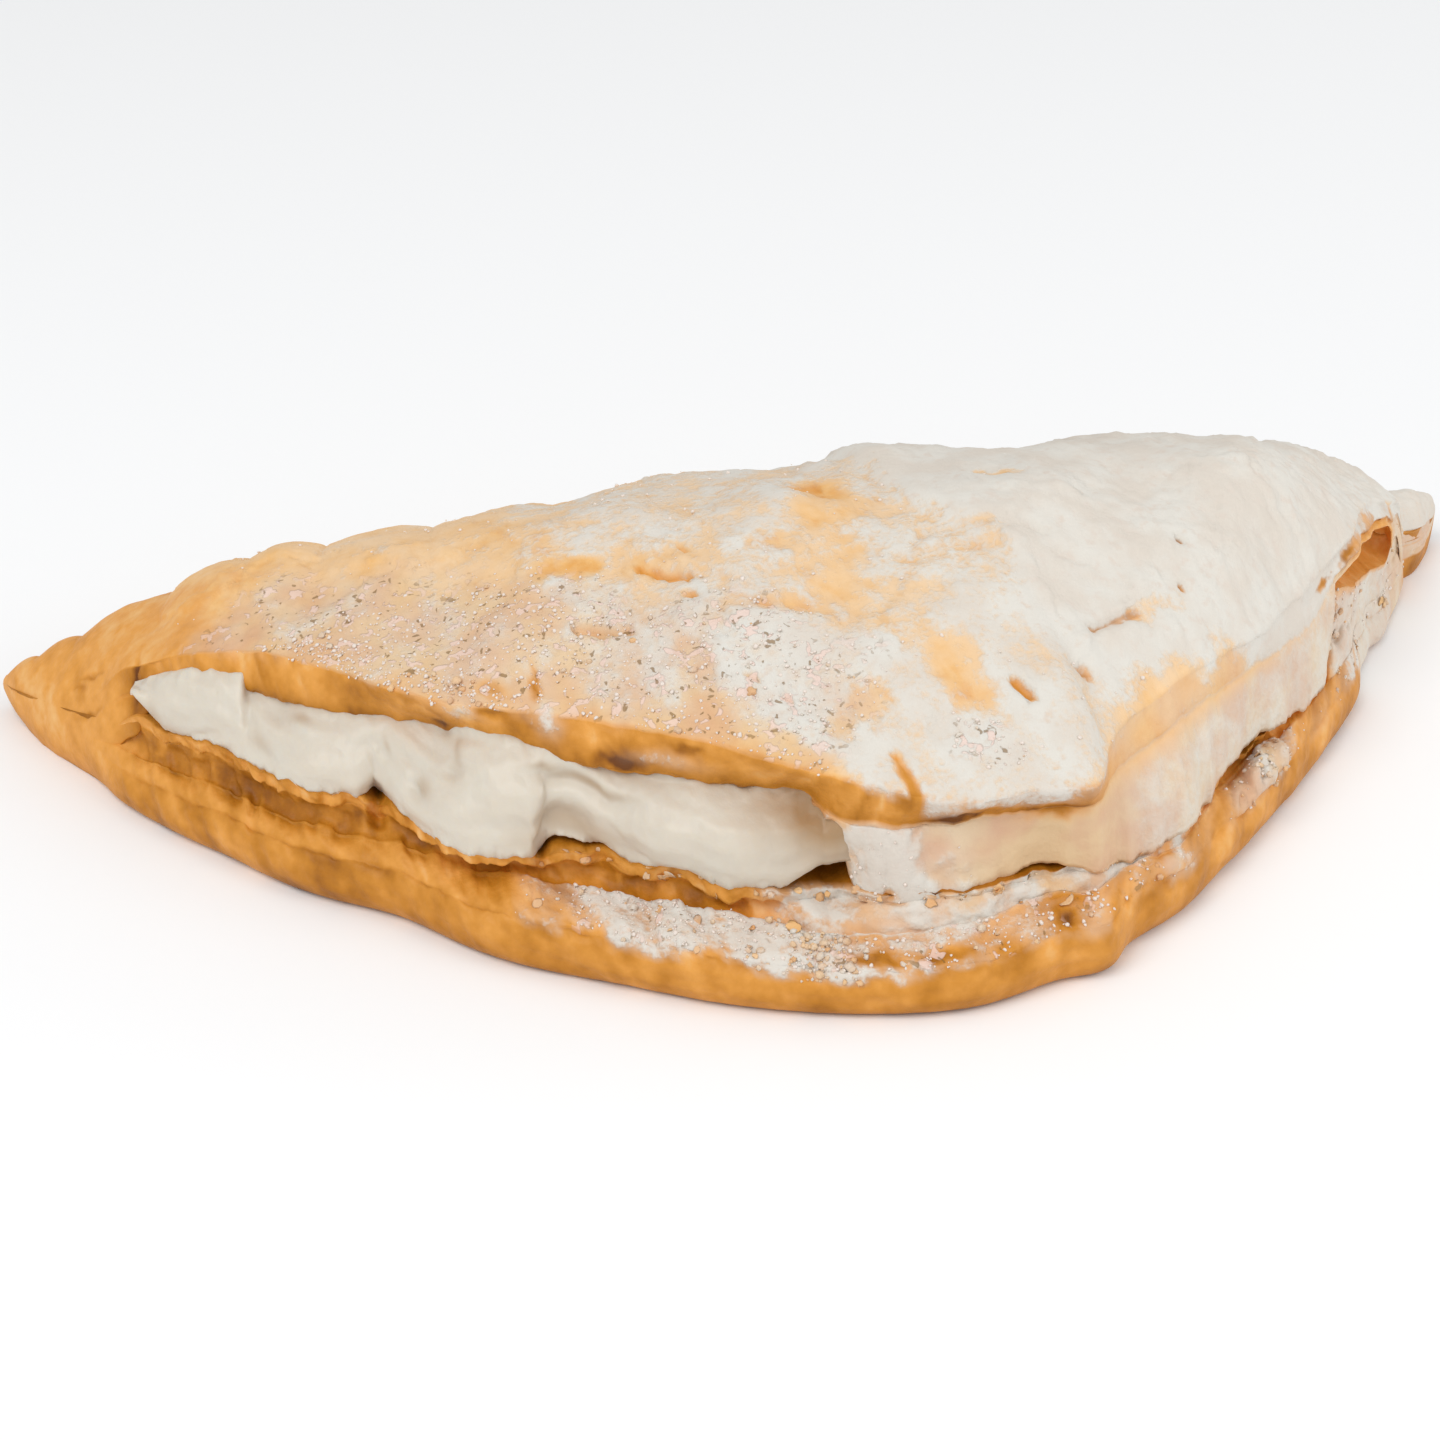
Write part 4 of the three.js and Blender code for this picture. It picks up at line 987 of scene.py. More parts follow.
def make_base():
    """The base, moved out by its relief, and its surface with what lies on it. The flap and the nub at the
    right are an inner ply, evenly dusted."""
    g = laid_out(BASE_STATIONS, base_profile)
    along, down, up, column, shares, names = g.along, g.down, g.up, g.column, g.shares, g.names
    g.side, g.shoulder, g.groove = within(names, "side"), within(names, "shoulder"), within(names, "groove")
    g.crust, g.floor, sole = within(names, "crust"), within(names, "floor"), within(names, "sole")
    g.upper = np.where(names == "side", smooth(0.72, 1.0, shares), names == "shoulder")
    g.open_groove = smooth(0.105, 0.135, column) * smooth(0.45, 0.42, column)
    g.front_ledge = smooth(0.462, 0.48, column) * smooth(0.6, 0.57, column)
    g.flap = smooth(0.785, 0.8, column) * smooth(0.94, 0.92, column)

    edge_toast, edge_sugar, edge_depth = edge_marks(BASE_EDGE_MARKS, g)
    grain, uneven = base_grain(g), rough(along, down, 5.0, 106, 5)
    powder = base_powder(g, uneven)
    move = base_relief(g, grain, powder) - edge_depth
    points = g.points + g.normal * (move * g.tips)[..., None]

    toast = base_toast(g, grain) + edge_toast
    toast = mix(toast, tip_gold(g.x, g.y, up) + 0.1 * smooth(4, 0.5, up), g.shut * (1 - sole))
    toast += sole * (0.5 + 0.1 * noise(along, down, 9, 111)) + within(names, "inside") * 0.4

    thin_edge, nub = g.crust + g.groove, smooth(0.897, 0.907, column)
    hanging_flap = smooth(0.82, 0.845, column) * smooth(0.94, 0.92, column)
    hanging_flap = hanging_flap * (g.side * smooth(0.1, 0.3, shares) + g.shoulder)
    inner = 0.7 * g.front_ledge * thin_edge + g.flap * (g.crust + 0.9 * g.groove) + hanging_flap
    inner = inner + nub * (thin_edge + g.shoulder) + 0.85 * smooth(0.2, 0.8, grain[-1])
    inner = clamp01(inner) * (1 - g.floor)
    on_flap = clamp01(np.maximum(g.flap, nub) * thin_edge + hanging_flap)
    dust = mix(np.clip(powder + edge_sugar, 0, 1.4), mix(0.66, 0.4, nub) + 0.1 * uneven, on_flap)
    speck = g.shoulder * smooth(0.34, 0.36, column) * smooth(0.62, 0.58, column)
    speck = speck * smooth(-0.2, 0.3, noise(along, down, 5, 116))
    piece = tube_piece("base", points, TIPS, "pastry", "pastry",
                       toast=toast, sugar=dust, inner=inner, speck=speck)

    grains = g.shoulder * (dust + speck) + 0.4 * dust * (g.crust + g.floor * smooth(0.47, 0.49, column))
    heap = bell(column, 0.452, 0.014) * (g.side * smooth(0.7, 1.0, shares) + g.shoulder)
    bits = bell(column, 0.797, 0.006) * (g.shoulder + g.crust)
    crumbs = (3.0 * heap + 0.12 * g.shoulder * dust + 0.25 * dust * g.crust + 0.15 * clamp01(grain[-1])
              + bits)
    flakes = g.crust * smooth(0.33, 0.36, column) * smooth(0.62, 0.58, column) + 0.25 * g.shoulder * dust
    return piece, surface_of(points, grains=grains, crumbs=crumbs, flakes=flakes)


# ---- the cream ----
CREAM_RANGE = (0.117, 0.47)
# Swells and dents of the cream's face: (section, share of the face from the crust up, half lengths along
# the edge and up the face in millimetres, height in millimetres).
CREAM_SWELLS = [
    (0.148, 0.70, 5.0, 4.5, 0.9), (0.175, 0.40, 3.0, 4.0, 0.5), (0.191, 0.85, 1.2, 1.4, -0.7),
    (0.186, 0.58, 1.6, 1.1, -0.45), (0.177, 0.36, 2.0, 0.9, -0.4), (0.166, 0.22, 2.4, 0.7, -0.3),
    (0.208, 0.80, 2.2, 1.6, -0.9), (0.200, 0.30, 1.6, 1.2, -0.5), (0.228, 0.50, 7.0, 4.0, 0.7),
    (0.262, 0.75, 5.0, 2.5, 0.6), (0.280, 0.42, 1.0, 1.0, -0.6), (0.290, 0.30, 6.0, 3.0, 0.9),
    (0.306, 0.85, 3.5, 1.2, -0.9), (0.300, 0.60, 0.9, 0.8, -0.6), (0.325, 0.55, 5.0, 4.0, 0.9),
    (0.342, 0.66, 3.5, 0.7, -0.6), (0.362, 0.62, 4.5, 0.7, -0.8), (0.350, 0.28, 3.5, 1.6, -0.7),
    (0.376, 0.90, 5.5, 1.5, -1.0), (0.412, 0.42, 10.0, 4.0, 1.9), (0.440, 0.80, 6.0, 1.8, -0.9),
    (0.240, 0.22, 6.0, 1.0, 0.4), (0.268, 0.55, 5.0, 0.6, -0.35), (0.318, 0.30, 5.0, 0.8, -0.35),
]
# Painted shade on the cream, a brown-grey where the lip overhangs it and in the creases between its lumps:
# (section, share of the face, half lengths along the edge and up the face in millimetres, strength).
CREAM_PAINTED_SHADE = [
    (0.458, 0.80, 5.5, 4.5, 1.3), (0.430, 0.97, 7.0, 1.6, 0.9), (0.362, 0.66, 3.6, 0.45, 0.7),
    (0.342, 0.72, 2.4, 0.4, 0.5), (0.352, 0.22, 5.0, 1.5, 0.6), (0.372, 0.97, 5.0, 1.4, 0.8),
    (0.216, 0.97, 4.0, 0.9, 0.9), (0.222, 0.72, 1.6, 0.6, 0.5), (0.300, 0.72, 0.5, 1.4, 0.4),
    (0.292, 0.88, 0.8, 0.7, 0.5), (0.196, 0.40, 1.2, 1.0, 0.35), (0.262, 0.60, 0.5, 0.5, 0.35),
    (0.284, 0.45, 0.8, 0.7, 0.5), (0.135, 0.15, 1.5, 1.0, 0.4), (0.466, 0.45, 1.5, 3.5, 0.5),
    (0.325, 0.97, 4.0, 0.8, 0.5),
]
# How far the cream's lower edge lies over the crust, and how far it has lifted off it.
cream_over = through([
    (0.11, 0.4), (0.2, 0.1), (0.245, 0.3), (0.256, -1.6), (0.27, 0.2), (0.31, 0.6), (0.333, 0.8),
    (0.342, -1.6), (0.36, -0.3), (0.375, 0.1), (0.4, 0.2), (0.44, 0.1), (0.46, -0.4), (0.48, -0.4)])
cream_lift = through([
    (0.11, 3.4), (0.119, 3.0), (0.128, 1.9), (0.14, 0.7), (0.152, 0), (0.246, 0), (0.254, 1.0), (0.262, 0),
    (0.33, 0), (0.342, 1.0), (0.36, 0.7), (0.375, 0.1), (0.4, 0), (0.435, 0.1), (0.446, 1.2), (0.456, 2.4),
    (0.48, 2.6)])
# How far the cream's upper edge has climbed from the lip's root (0) to the brim (1), and how far its face
# bulges out.
cream_climb = through([
    (0.11, 0.4), (0.118, 0.6), (0.127, 0.66), (0.15, 0.72), (0.165, 0.66), (0.184, 0.62), (0.190, 0.1),
    (0.2, 0), (0.286, 0), (0.306, 0.4), (0.325, 0.44), (0.35, 0.2), (0.385, 0), (0.48, 0)])
cream_bulge = through([
    (0.11, 1.3), (0.18, 1.3), (0.196, 0.9), (0.24, 1.1), (0.31, 1.3), (0.335, 1.1), (0.355, 0.8),
    (0.375, 1.0), (0.405, 1.6), (0.44, 1.3), (0.46, 0.6), (0.48, 0.3)])
FACE_POINTS, HIDDEN_POINTS = 130, 20       # on the cream's face, and on its roof and on its floor


def cream_profile(s, width, climb, rounded):
    """The cream's closed outline: its bulging face from the crust up to the lip, its roof back into the
    pocket, and its floor. The face's two edges follow the torn edges of the pastry. Also the share of the
    face from the crust up, which is 0 inside the pocket."""
    even, torn = corners(s, width, tear=0.0), corners(s, width)
    crust, lip, brim = even["crust_top"], even["lip"], even["brim"]
    over = cream_over(s) + 0.3 * rough(s * EDGE_LENGTH, 0 * s, 7, 131, 2)
    in_front = smooth(0.134, 0.122, s)
    low_out, low_up = 0.5 - 0.8 * over - 0.5 * in_front, -0.2 - 0.4 * np.maximum(over, 0) + cream_lift(s)
    low = crust + stack(low_out, low_up)
    high = mix(lip + [1.0, 0.2], brim + [-0.7, -0.6], climb) - stack(0.5 * in_front, 0)
    depth = np.maximum(pocket_depth(s) * 0.9 - 2.5, 0.4)
    end = stack(np.maximum(crust[:, 0], lip[:, 0]) + depth,
                mix(crust[:, 1], lip[:, 1], 0.45) + depth * 0.06)
    out = (rounded * cream_bulge(s))[:, None]
    roof, floor = lip[:, 1] - 0.5 + depth * 0.1, crust[:, 1] - 0.2 + 0.6 * cream_lift(s)
    profile = np.concatenate([
        stretch(low, low + out * [-0.9, 1.7], high + out * [-1.7, -1.0], high, steps(FACE_POINTS)),
        stretch(high, stack(high[:, 0] + 2.0, roof), stack(end[:, 0], roof - 0.4), end,
                steps(HIDDEN_POINTS, 0.7)),
        stretch(end, stack(end[:, 0], floor + 0.4), stack(mix(low[:, 0], end[:, 0], 0.5), floor), low,
                steps(HIDDEN_POINTS, 0, 0.7)),
    ], 1)
    share = (np.arange(FACE_POINTS) + 0.5) / FACE_POINTS
    hidden = np.arange(HIDDEN_POINTS) / HIDDEN_POINTS
    by_crust = np.concatenate([smooth(0.2, 0, share), 0 * hidden, smooth(0.6, 1, hidden)])[None, :, None]
    by_lip = np.concatenate([smooth(0.85, 1, share), smooth(0.3, 0, hidden), 0 * hidden])[None, :, None]
    profile = profile + by_crust * (torn["crust_top"] - crust)[:, None]
    profile = profile + by_lip * (torn["lip"] - lip)[:, None] * (1 - climb[:, None])
    return profile, np.concatenate([share, 0 * hidden, 0 * hidden])[None, :]


def make_cream():
    """The cream, rounded off at both ends, with its swells and folds, and painted shade under the lip and in
    its creases.
    """
    t = (np.arange(CREAM_STATIONS) + 1) / (CREAM_STATIONS + 1)
    s = mix(*CREAM_RANGE, t)
    plan, climb = plan_of(s), cream_climb(s)[:, None]
    rounded = np.sqrt(1 - (1 - clamp01(t / 0.03)) ** 2) * np.sqrt(1 - (1 - clamp01((1 - t) / 0.04)) ** 2)
    profile, share = cream_profile(s, plan[2], climb, rounded)
    points, _ = in_place(s, plan, profile)
    along = np.broadcast_to((s * EDGE_LENGTH)[:, None], points.shape[:2])
    down = arc_down(points)
    tall = down[:, FACE_POINTS - 1:FACE_POINTS]
    wander = along + 1.0 * noise(along, down, 4, 124)
    rise = share * tall + 0.7 * noise(along, down, 5, 126)

    swell, stain = np.zeros_like(down), np.zeros_like(down)
    for at, across, long, high, height in CREAM_SWELLS:
        swell += height * bell(wander, at * EDGE_LENGTH, long) * bell(rise, across * tall, high)
    # painted shade: darkens the cream where the lip overhangs it and in the creases between its lumps
    for at, across, long, high, strength in CREAM_PAINTED_SHADE:
        spot = bell(wander, at * EDGE_LENGTH, long) * bell(rise, across * tall, high)
        stain = np.maximum(stain, strength * spot * (share > 0))
    spread = 0.3 * noise(along, down, 5.5, 123) + 0.13 * noise(along * 0.6 + 0.4 * down, down, 2.4, 121)
    spread += 0.05 * noise(along, down, 1.1, 127) + 0.16 * noise(0.3 * along + 0.3 * down, down, 1.7, 128)
    climbed = climb * smooth(0.6, 1, share) * (share > 0) * 0.5 * rough(along, down, 2.6, 132, 2)
    move = ((swell + spread) * np.sin(np.pi * share) ** 0.4 + climbed) * rounded[:, None]
    points = points + normals_of(points) * move[..., None]
    poles = [points[0].mean(0), points[-1].mean(0)]
    return tube_piece("cream_filling", points, poles, "cream", "cream", stain=stain)


# ---- grains, crumbs and flakes ----
def ball(cuts):
    """Points and faces of a closed ball of radius 1: the 20 triangles of an icosahedron, each cut in four
    as often as cuts says."""
    long = (1 + 5**0.5) / 2
    points = [(-1, long, 0), (1, long, 0), (-1, -long, 0), (1, -long, 0), (0, -1, long), (0, 1, long),
              (0, -1, -long), (0, 1, -long), (long, 0, -1), (long, 0, 1), (-long, 0, -1), (-long, 0, 1)]
    points = [np.array(p) / math.hypot(*p) for p in points]
    faces = [(0, 11, 5), (0, 5, 1), (0, 1, 7), (0, 7, 10), (0, 10, 11), (1, 5, 9), (5, 11, 4), (11, 10, 2),
             (10, 7, 6), (7, 1, 8), (3, 9, 4), (3, 4, 2), (3, 2, 6), (3, 6, 8), (3, 8, 9), (4, 9, 5),
             (2, 4, 11), (6, 2, 10), (8, 6, 7), (9, 8, 1)]
    for _ in range(cuts):
        middles, finer = {}, []
        for a, b, c in faces:
            for pair in ((a, b), (b, c), (c, a)):
                if tuple(sorted(pair)) not in middles:
                    middles[tuple(sorted(pair))] = len(points)
                    between = points[pair[0]] + points[pair[1]]
                    points.append(between / np.linalg.norm(between))
            ab, bc, ca = (middles[tuple(sorted(pair))] for pair in ((a, b), (b, c), (c, a)))
            finer += [(a, ab, ca), (b, bc, ab), (c, ca, bc), (ab, bc, ca)]
        faces = finer
    return np.array(points), np.array(faces)


def unit(vectors):
    """Vectors divided by their lengths."""
    return vectors / np.maximum(np.linalg.norm(vectors, axis=-1, keepdims=True), 1e-9)


def scattered(name, surfaces, kind, count, sizes, slot, seed, cuts=0, flat=1.0, curl=0.0, looks=()):
    """One piece of many small uneven balls that lie on the surfaces. Their places are drawn with odds of
    the kind's weight times the area round each point. A radius is smallest * (largest / smallest) ^ (r * r)
    for an even random r. flat squeezes a ball along the surface's normal, and curl bends it up along its
    length by curl * length ^ 2 / radius. A ball that would reach below the floor is lifted onto it. looks
    gives the range of each number that the material reads."""
    rng = np.random.default_rng(seed)
    places = np.concatenate([f["points"].reshape(-1, 3) for f in surfaces])
    normals = np.concatenate([f["normals"].reshape(-1, 3) for f in surfaces])
    odds = np.concatenate([(np.maximum(f[kind], 0) * f["area"]).ravel() for f in surfaces])
    pick = rng.choice(len(places), count, p=odds / odds.sum())
    out = unit(normals[pick] + 0.25 * rng.normal(size=(count, 3)))
    across = unit(np.cross(out, rng.normal(size=(count, 3))))
    along = np.cross(across, out)
    radius = sizes[0] * (sizes[1] / sizes[0]) ** (rng.random(count) ** 2)
    shape, faces = ball(cuts)
    local = shape[None] * rng.uniform(0.6, 1.25, (count, len(shape), 1))
    local = local * rng.uniform(0.7, 1.25, (count, 1, 3))
    local[..., 2] *= flat
    local[..., 2] += curl * local[..., 0] ** 2
    local *= radius[:, None, None]
    shift = rng.uniform(-0.3, 0.3, (count, 2))
    middle = places[pick] + out * (radius * max(flat, 0.15) * 0.45)[:, None]
    middle += along * shift[:, :1] + across * shift[:, 1:]
    axes = (along, across, out)
    points = middle[:, None] + sum(local[..., k:k + 1] * axis[:, None] for k, axis in enumerate(axes))
    points[..., 2] -= np.minimum(points[..., 2].min(axis=1, keepdims=True), 0)
    every = (faces[None] + np.arange(count)[:, None, None] * len(shape)).reshape(-1, 3)
    fields = {field: np.repeat(rng.uniform(low, high, count), len(shape)) for field, (low, high) in looks}
    return piece_from(name, points, every, slot, **fields)


def surface_of(points, **weights):
    """A made surface with its normals, the area round each point, and what lies on it."""
    along, around = np.gradient(points, axis=0), np.gradient(points, axis=1)
    area = np.linalg.norm(np.cross(along, around), axis=-1)
    return {"points": points, "normals": normals_of(points), "area": area, **weights}


# ---- materials ----
def colour(code):
    """An sRGB hex code as linear red, green, blue and alpha."""
    parts = [int(code[k:k + 2], 16) / 255 for k in (1, 3, 5)]
    return [p / 12.92 if p <= 0.04045 else ((p + 0.055) / 1.055) ** 2.4 for p in parts] + [1.0]


def add(tree, kind, inputs=(), **settings):
    """Adds a node: settings are its properties, and inputs pairs a socket's name or number with a value,
    with the output that it is linked from, or with a node, whose first output in use is then linked."""
    made = tree.nodes.new("ShaderNode" + kind)
    for name, value in settings.items():
        setattr(made, name, value)
    for socket, value in inputs:
        if isinstance(value, bpy.types.Node):
            value = next(output for output in value.outputs if output.enabled)
        if isinstance(value, bpy.types.NodeSocket):
            tree.links.new(value, made.inputs[socket])
        else:
            made.inputs[socket].default_value = value
    return made


def add_terms(tree, total, terms):
    """Nodes for total plus the sum of weight * (value - 0.5) over the terms, pairs of value and weight."""
    for value, weight in terms:
        part = add(tree, "Math", [(0, value), (1, 0.5)], operation="SUBTRACT")
        total = add(tree, "Math", [(0, part), (1, weight), (2, total)], operation="MULTIPLY_ADD")
    return total


def new_material(name):
    """An empty material and its node tree."""
    material = bpy.data.materials.new(name)
    material.use_nodes = True
    material.node_tree.nodes.clear()
    return material, material.node_tree


PER_MM = 1000.0      # object coordinates are metres, so a pattern of 1 mm has this scale
FOOD_IOR = 1.45      # milk fat; baked starch and sugar are a little higher, which a matt surface hides

# Crust colours from straw to burnt; the deeper ones also come out as painted shade where the toast number
# holds it.
CRUST_TONES = [(0.0, "#f1ca98"), (0.2, "#ebb874"), (0.35, "#e29e49"), (0.5, "#cf8b33"), (0.65, "#bb791f"),
               (0.82, "#9c5f0c"), (1.0, "#6b3a08")]
CRUMB_TONES = ("#d6ad8d", "#dfc29a")
SUGAR_TONES = ("#d9d2c8", "#dddbd4", "#d9d0c6")
PALE_SPOT, BURNT_SPOT = "#ecd0c4", "#86632f"


def baked_puff_pastry():
    """Baked puff pastry under icing sugar. Butter-rich plies bake from straw to deep brown, so the colour
    runs along a scale of toasting with mottling of 6 mm and 1.3 mm; an inner ply is pale crumb. The crust
    is dry with a faint shine. The sugar is a matt white powder of grains too fine to see, so it lies as
    patches with grainy borders of 0.5 and 1.3 mm, and as a thin haze. Burnt specks and clumps of sugar are
    dots of under 1 mm."""
    material, tree = new_material("baked_puff_pastry")
    place = add(tree, "TexCoord").outputs["Object"]
    toast, sugar, inner, speck = (
        add(tree, "Attribute", attribute_name=name).outputs["Fac"]
        for name in ("toast", "sugar", "inner", "speck"))
    wide, fine, grain = (
        add(tree, "TexNoise", [("Vector", place), ("Scale", PER_MM / size), ("Detail", detail)])
        for size, detail in ((6.0, 3.0), (1.3, 3.0), (0.5, 2.0)))
    dark_dots, pale_dots = (
        add(tree, "TexNoise", [("Vector", place), ("W", depth), ("Scale", PER_MM / size), ("Detail", 1.5),
                               ("Distortion", 0.6)], noise_dimensions="4D")
        for size, depth in ((0.9, 0.0), (1.3, 7.0)))

    # Sugar lies where its amount, made patchy by the noise, is high. Inner plies hold it more evenly.
    calm = add(tree, "MapRange", [("Value", inner), ("To Min", 1.0), ("To Max", 0.4)])
    patches = add_terms(tree, 0.0, ((grain, 0.6), (fine, 0.8), (wide, 0.45)))
    patchy = add(tree, "Math", [(0, patches), (1, calm), (2, sugar)], operation="MULTIPLY_ADD")
    mottled, dusted, heaped, any_sugar, dark, pale = (
        add(tree, "MapRange", [("Value", value), ("From Min", low), ("From Max", high)],
            interpolation_type="SMOOTHSTEP")
        for value, low, high in ((wide, 0.35, 0.65), (fine, 0.25, 0.5), (patchy, 0.12, 0.92),
                                 (sugar, 0.02, 0.2), (dark_dots, 0.635, 0.69), (pale_dots, 0.57, 0.63)))
    cover, burnt_share, pale_share = (
        add(tree, "Math", [(0, a), (1, b)], operation="MULTIPLY")
        for a, b in ((heaped, any_sugar), (dark, speck), (pale, speck)))
    covered, haze, burnt_tint, pale_tint = (
        add(tree, "Math", [(0, value), (1, share)], operation="MULTIPLY")
        for value, share in ((cover, 0.95), (sugar, 0.62), (burnt_share, 0.7), (pale_share, 0.7)))
    powder = add(tree, "Math", [(0, covered), (1, haze)], operation="MAXIMUM")

    # The scale turns the toast number into colour, so the painted shade that it carries comes out as deeper
    # browns.
    scale = add(tree, "ValToRGB", [("Fac", add_terms(tree, toast, ((wide, 0.32), (fine, 0.26))))])
    stops = scale.color_ramp.elements
    stops[0].color, stops[-1].color = colour(CRUST_TONES[0][1]), colour(CRUST_TONES[-1][1])
    for at, code in CRUST_TONES[1:-1]:
        stops.new(at).color = colour(code)
    crumb, white = (
        add(tree, "Mix", [("Factor", mottled), (6, colour(tones[0])), (7, colour(tones[1]))],
            data_type="RGBA")
        for tones in (CRUMB_TONES, SUGAR_TONES))
    white = add(tree, "Mix", [("Factor", dusted), (6, colour(SUGAR_TONES[2])), (7, white)],
                data_type="RGBA")
    skin = scale
    for share, over in ((inner, crumb), (powder, white), (pale_tint, colour(PALE_SPOT)),
                        (burnt_tint, colour(BURNT_SPOT))):
        skin = add(tree, "Mix", [("Factor", share), (6, skin), (7, over)], data_type="RGBA")

    dry = add(tree, "MapRange", [("Value", powder), ("To Min", 0.5), ("To Max", 0.9)])
    thick = add(tree, "Math", [(0, powder), (1, 0.9)], operation="MULTIPLY")
    height = add_terms(tree, thick, ((grain, 0.4), (fine, 0.5), (pale_share, 1.2), (burnt_share, -0.8)))
    relief = add(tree, "Bump", [("Strength", 0.5), ("Distance", 0.35 * MM), ("Height", height)])
    shader = add(tree, "BsdfPrincipled", [("Base Color", skin), ("Roughness", dry), ("Normal", relief),
                                          ("IOR", FOOD_IOR), ("Specular IOR Level", 0.35)])
    add(tree, "OutputMaterial", [("Surface", shader)])
    return material


def whipped_cream():
    """Whipped cream: milk fat and air, so it is off-white, soft and slightly see-through, with a satin
    surface. Its faint mottling is 4 mm wide and its fine relief 0.8 mm. A brown-grey paints the shade
    under the lip and in its creases."""
    material, tree = new_material("whipped_cream")
    place = add(tree, "TexCoord").outputs["Object"]
    wide, fine = (add(tree, "TexNoise", [("Vector", place), ("Scale", PER_MM / size), ("Detail", 2.0)])
                  for size in (4, 0.8))
    stain = add(tree, "Attribute", attribute_name="stain").outputs["Fac"]
    clean = add(tree, "Mix", [("Factor", wide), (6, colour("#d3c7b6")), (7, colour("#d7d2c5"))],
                data_type="RGBA")
    # painted shade: mixes towards brown-grey where the lip overhangs the cream and in its creases
    tone = add(tree, "Mix", [("Factor", stain), (6, clean), (7, colour("#a98a66"))], data_type="RGBA")
    relief = add(tree, "Bump", [("Strength", 0.25), ("Distance", 0.2 * MM), ("Height", fine)])
    shader = add(tree, "BsdfPrincipled", [
        ("Base Color", tone), ("Roughness", 0.42), ("Normal", relief), ("IOR", FOOD_IOR),
        ("Subsurface Weight", 0.25), ("Subsurface Radius", (1.0, 0.8, 0.55)), ("Subsurface Scale", 1.5 * MM)])
    add(tree, "OutputMaterial", [("Surface", shader)])
    return material


def icing_sugar():
    """Icing sugar that has clumped to grains you can see: a matt white powder."""
    material, tree = new_material("icing_sugar")
    shader = add(tree, "BsdfPrincipled", [("Base Color", colour("#e9ddd3")), ("Roughness", 0.85),
                                          ("IOR", FOOD_IOR), ("Specular IOR Level", 0.3)])
    add(tree, "OutputMaterial", [("Surface", shader)])
    return material


def pale_floor():
    """A plain matt white studio floor."""
    material, tree = new_material("pale_floor")
    shader = add(tree, "BsdfPrincipled", [("Base Color", colour("#fafbfc")), ("Roughness", 0.9),
                                          ("Specular IOR Level", 0.1)])
    add(tree, "OutputMaterial", [("Surface", shader)])
    return material


# ---- stage ----
FLOOR_HALF = 3.0                 # metres
AIM = (0, 0, 0.015)              # the point that the lights are turned to
# Round soft lights: (name, place and size in metres, power in watts).
LIGHTS = [
    ("key", (-0.45, -0.4, 0.75), 0.7, 4.2),
    ("fill", (0.6, -0.45, 0.5), 0.6, 1.5),
    ("right", (0.75, 0.05, 0.22), 0.4, 0.7),
]


def make_stage():
    """A floor, an even white sky and three lights, which are turned to the pastry."""
    mesh = bpy.data.meshes.new("floor")
    corner_points = [(x * FLOOR_HALF, y * FLOOR_HALF, 0) for x, y in ((-1, -1), (1, -1), (1, 1), (-1, 1))]
    mesh.from_pydata(corner_points, [], [(0, 1, 2, 3)])
    floor = bpy.data.objects.new("floor", mesh)
    bpy.context.scene.collection.objects.link(floor)
    floor.data.materials.append(pale_floor())

    world = bpy.data.worlds.new("studio")
    bpy.context.scene.world = world
    world.use_nodes = True
    world.node_tree.nodes["Background"].inputs["Color"].default_value = colour("#ffffff")
    world.node_tree.nodes["Background"].inputs["Strength"].default_value = 0.6

    for name, place, size, power in LIGHTS:
        light = bpy.data.lights.new(name, "AREA")
        light.shape, light.size, light.energy = "DISK", size, power
        lamp = bpy.data.objects.new(name, light)
        lamp.location = place
        towards = np.array(AIM) - np.array(place)
        lamp.rotation_euler = (math.atan2(math.hypot(*towards[:2]), -towards[2]), 0,
                               math.atan2(-towards[0], towards[1]))
        bpy.context.scene.collection.objects.link(lamp)


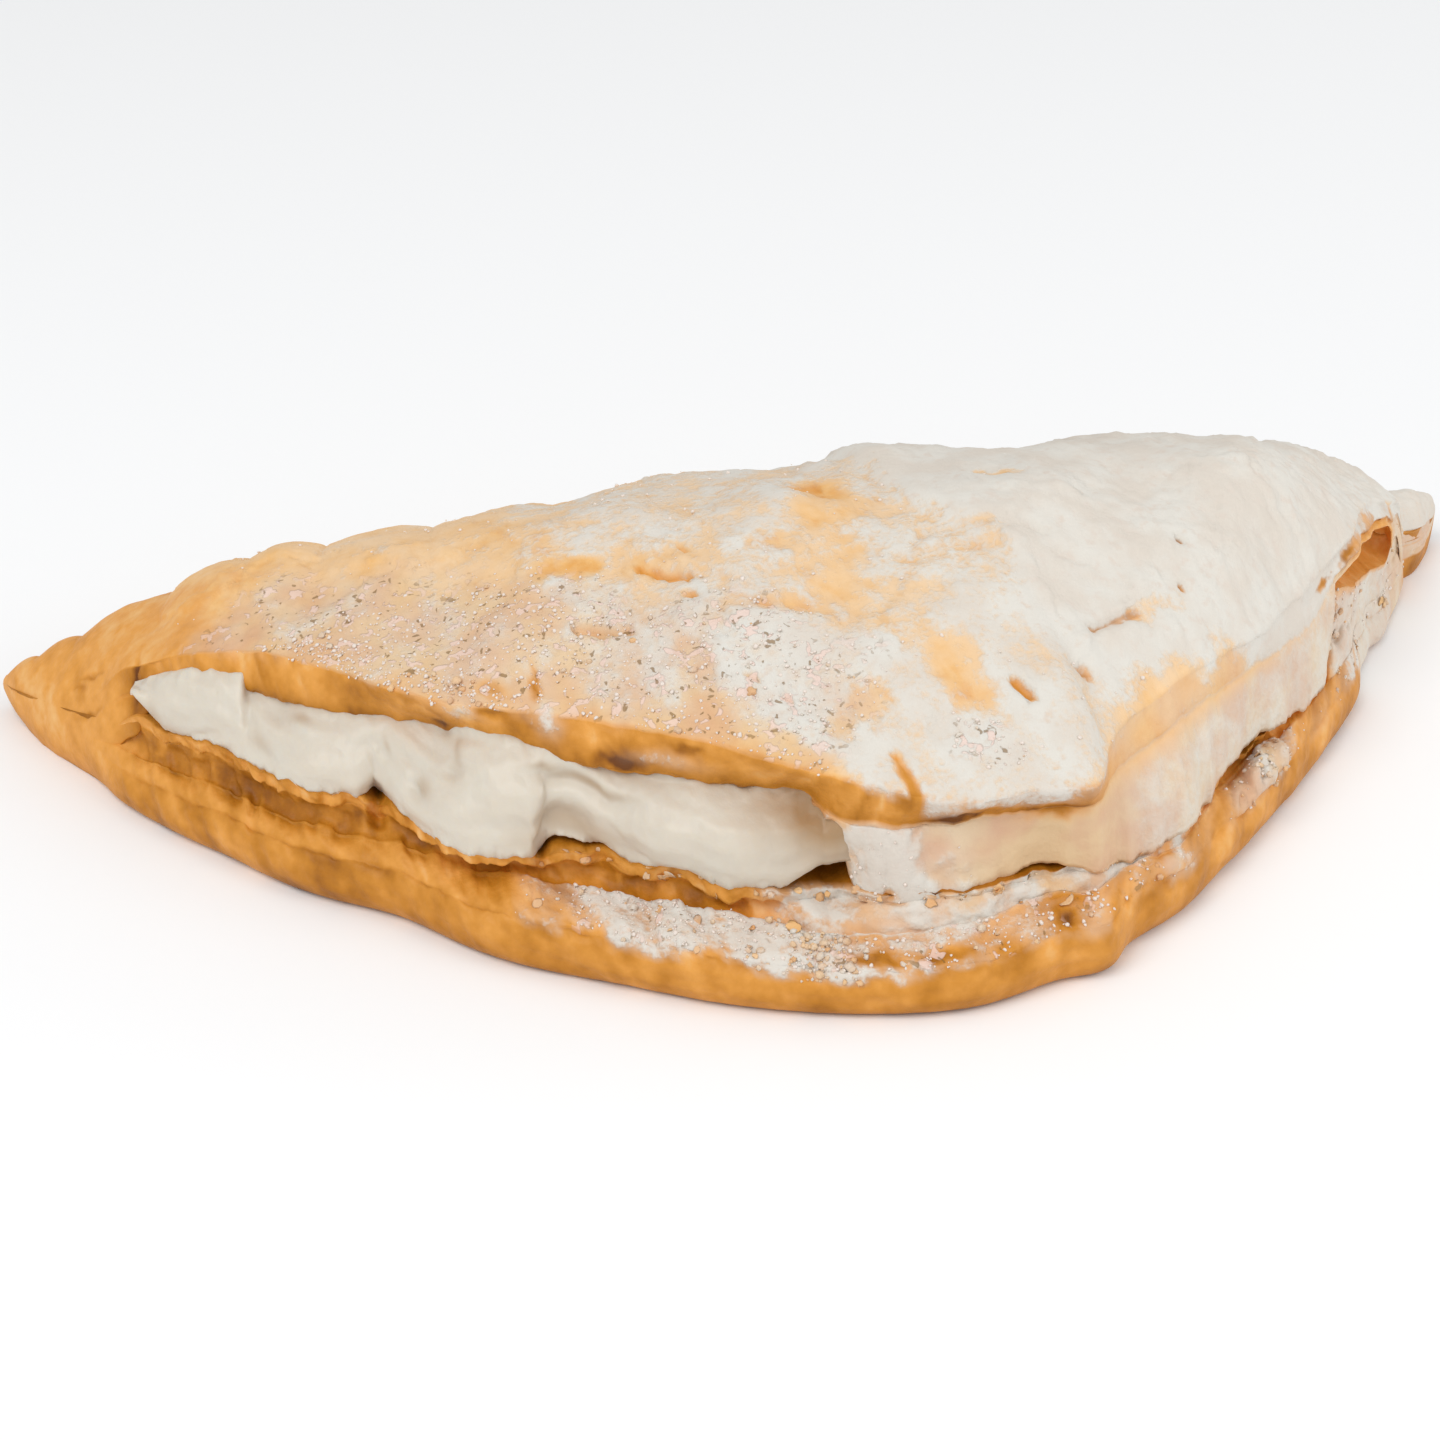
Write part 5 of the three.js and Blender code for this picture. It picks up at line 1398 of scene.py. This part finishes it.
CAMERA_AZIMUTH, CAMERA_ELEVATION = math.radians(-13.8), math.radians(30)
CAMERA_DISTANCE = 364.5                              # millimetres from what it looks at
CAMERA_TARGET = (-9.224, FOLD_Y - 21.277, 0.0)
LENS, SENSOR = 85, 36                                # millimetres


def make_camera():
    """The camera stands a little round to the left and 30 degrees up, and has a long lens."""
    azimuth, elevation = CAMERA_AZIMUTH, CAMERA_ELEVATION
    back = np.array([math.sin(azimuth) * math.cos(elevation), -math.cos(azimuth) * math.cos(elevation),
                     math.sin(elevation)])
    camera = bpy.data.objects.new("camera", bpy.data.cameras.new("camera"))
    camera.data.lens, camera.data.sensor_width = LENS, SENSOR
    camera.data.clip_start, camera.data.clip_end = 0.01, 20
    camera.location = (np.array(CAMERA_TARGET) + CAMERA_DISTANCE * back) * MM
    camera.rotation_euler = (math.pi / 2 - elevation, 0, azimuth)
    bpy.context.scene.collection.objects.link(camera)
    bpy.context.scene.camera = camera


# ---- making ----
make_camera()
pastry_material, cream_material, sugar_material = baked_puff_pastry(), whipped_cream(), icing_sugar()
lid, lid_surface = make_lid()
base, base_surface = make_base()
both = (lid_surface, base_surface)
crumb_looks = (("toast", (0.0, 0.4)), ("sugar", (0.1, 0.75)), ("inner", (0.2, 0.9)), ("speck", (0.0, 0.0)))
flake_looks = (("toast", (0.1, 0.5)), ("sugar", (0.0, 0.5)), ("inner", (0.0, 0.6)), ("speck", (0.0, 0.0)))
cream = make_cream()
sugar_grains = scattered("sugar_grains", both, "grains", 2600, (0.08, 0.26), "sugar", 201, flat=0.8)
crumbs = scattered("crumbs", both, "crumbs", 300, (0.14, 0.5), "pastry", 202, cuts=1, flat=0.8,
                   looks=crumb_looks)
flakes = scattered("flakes", both, "flakes", 60, (0.3, 0.8), "pastry", 203, cuts=1, flat=0.09, curl=0.35,
                   looks=flake_looks)
made = [
    (lid, pastry_material), (base, pastry_material), (cream, cream_material),
    (sugar_grains, sugar_material), (crumbs, pastry_material), (flakes, pastry_material),
]
for piece, finish in made:
    piece.data.materials.append(finish)
make_stage()
bpy.context.scene.view_settings.view_transform = "Standard"
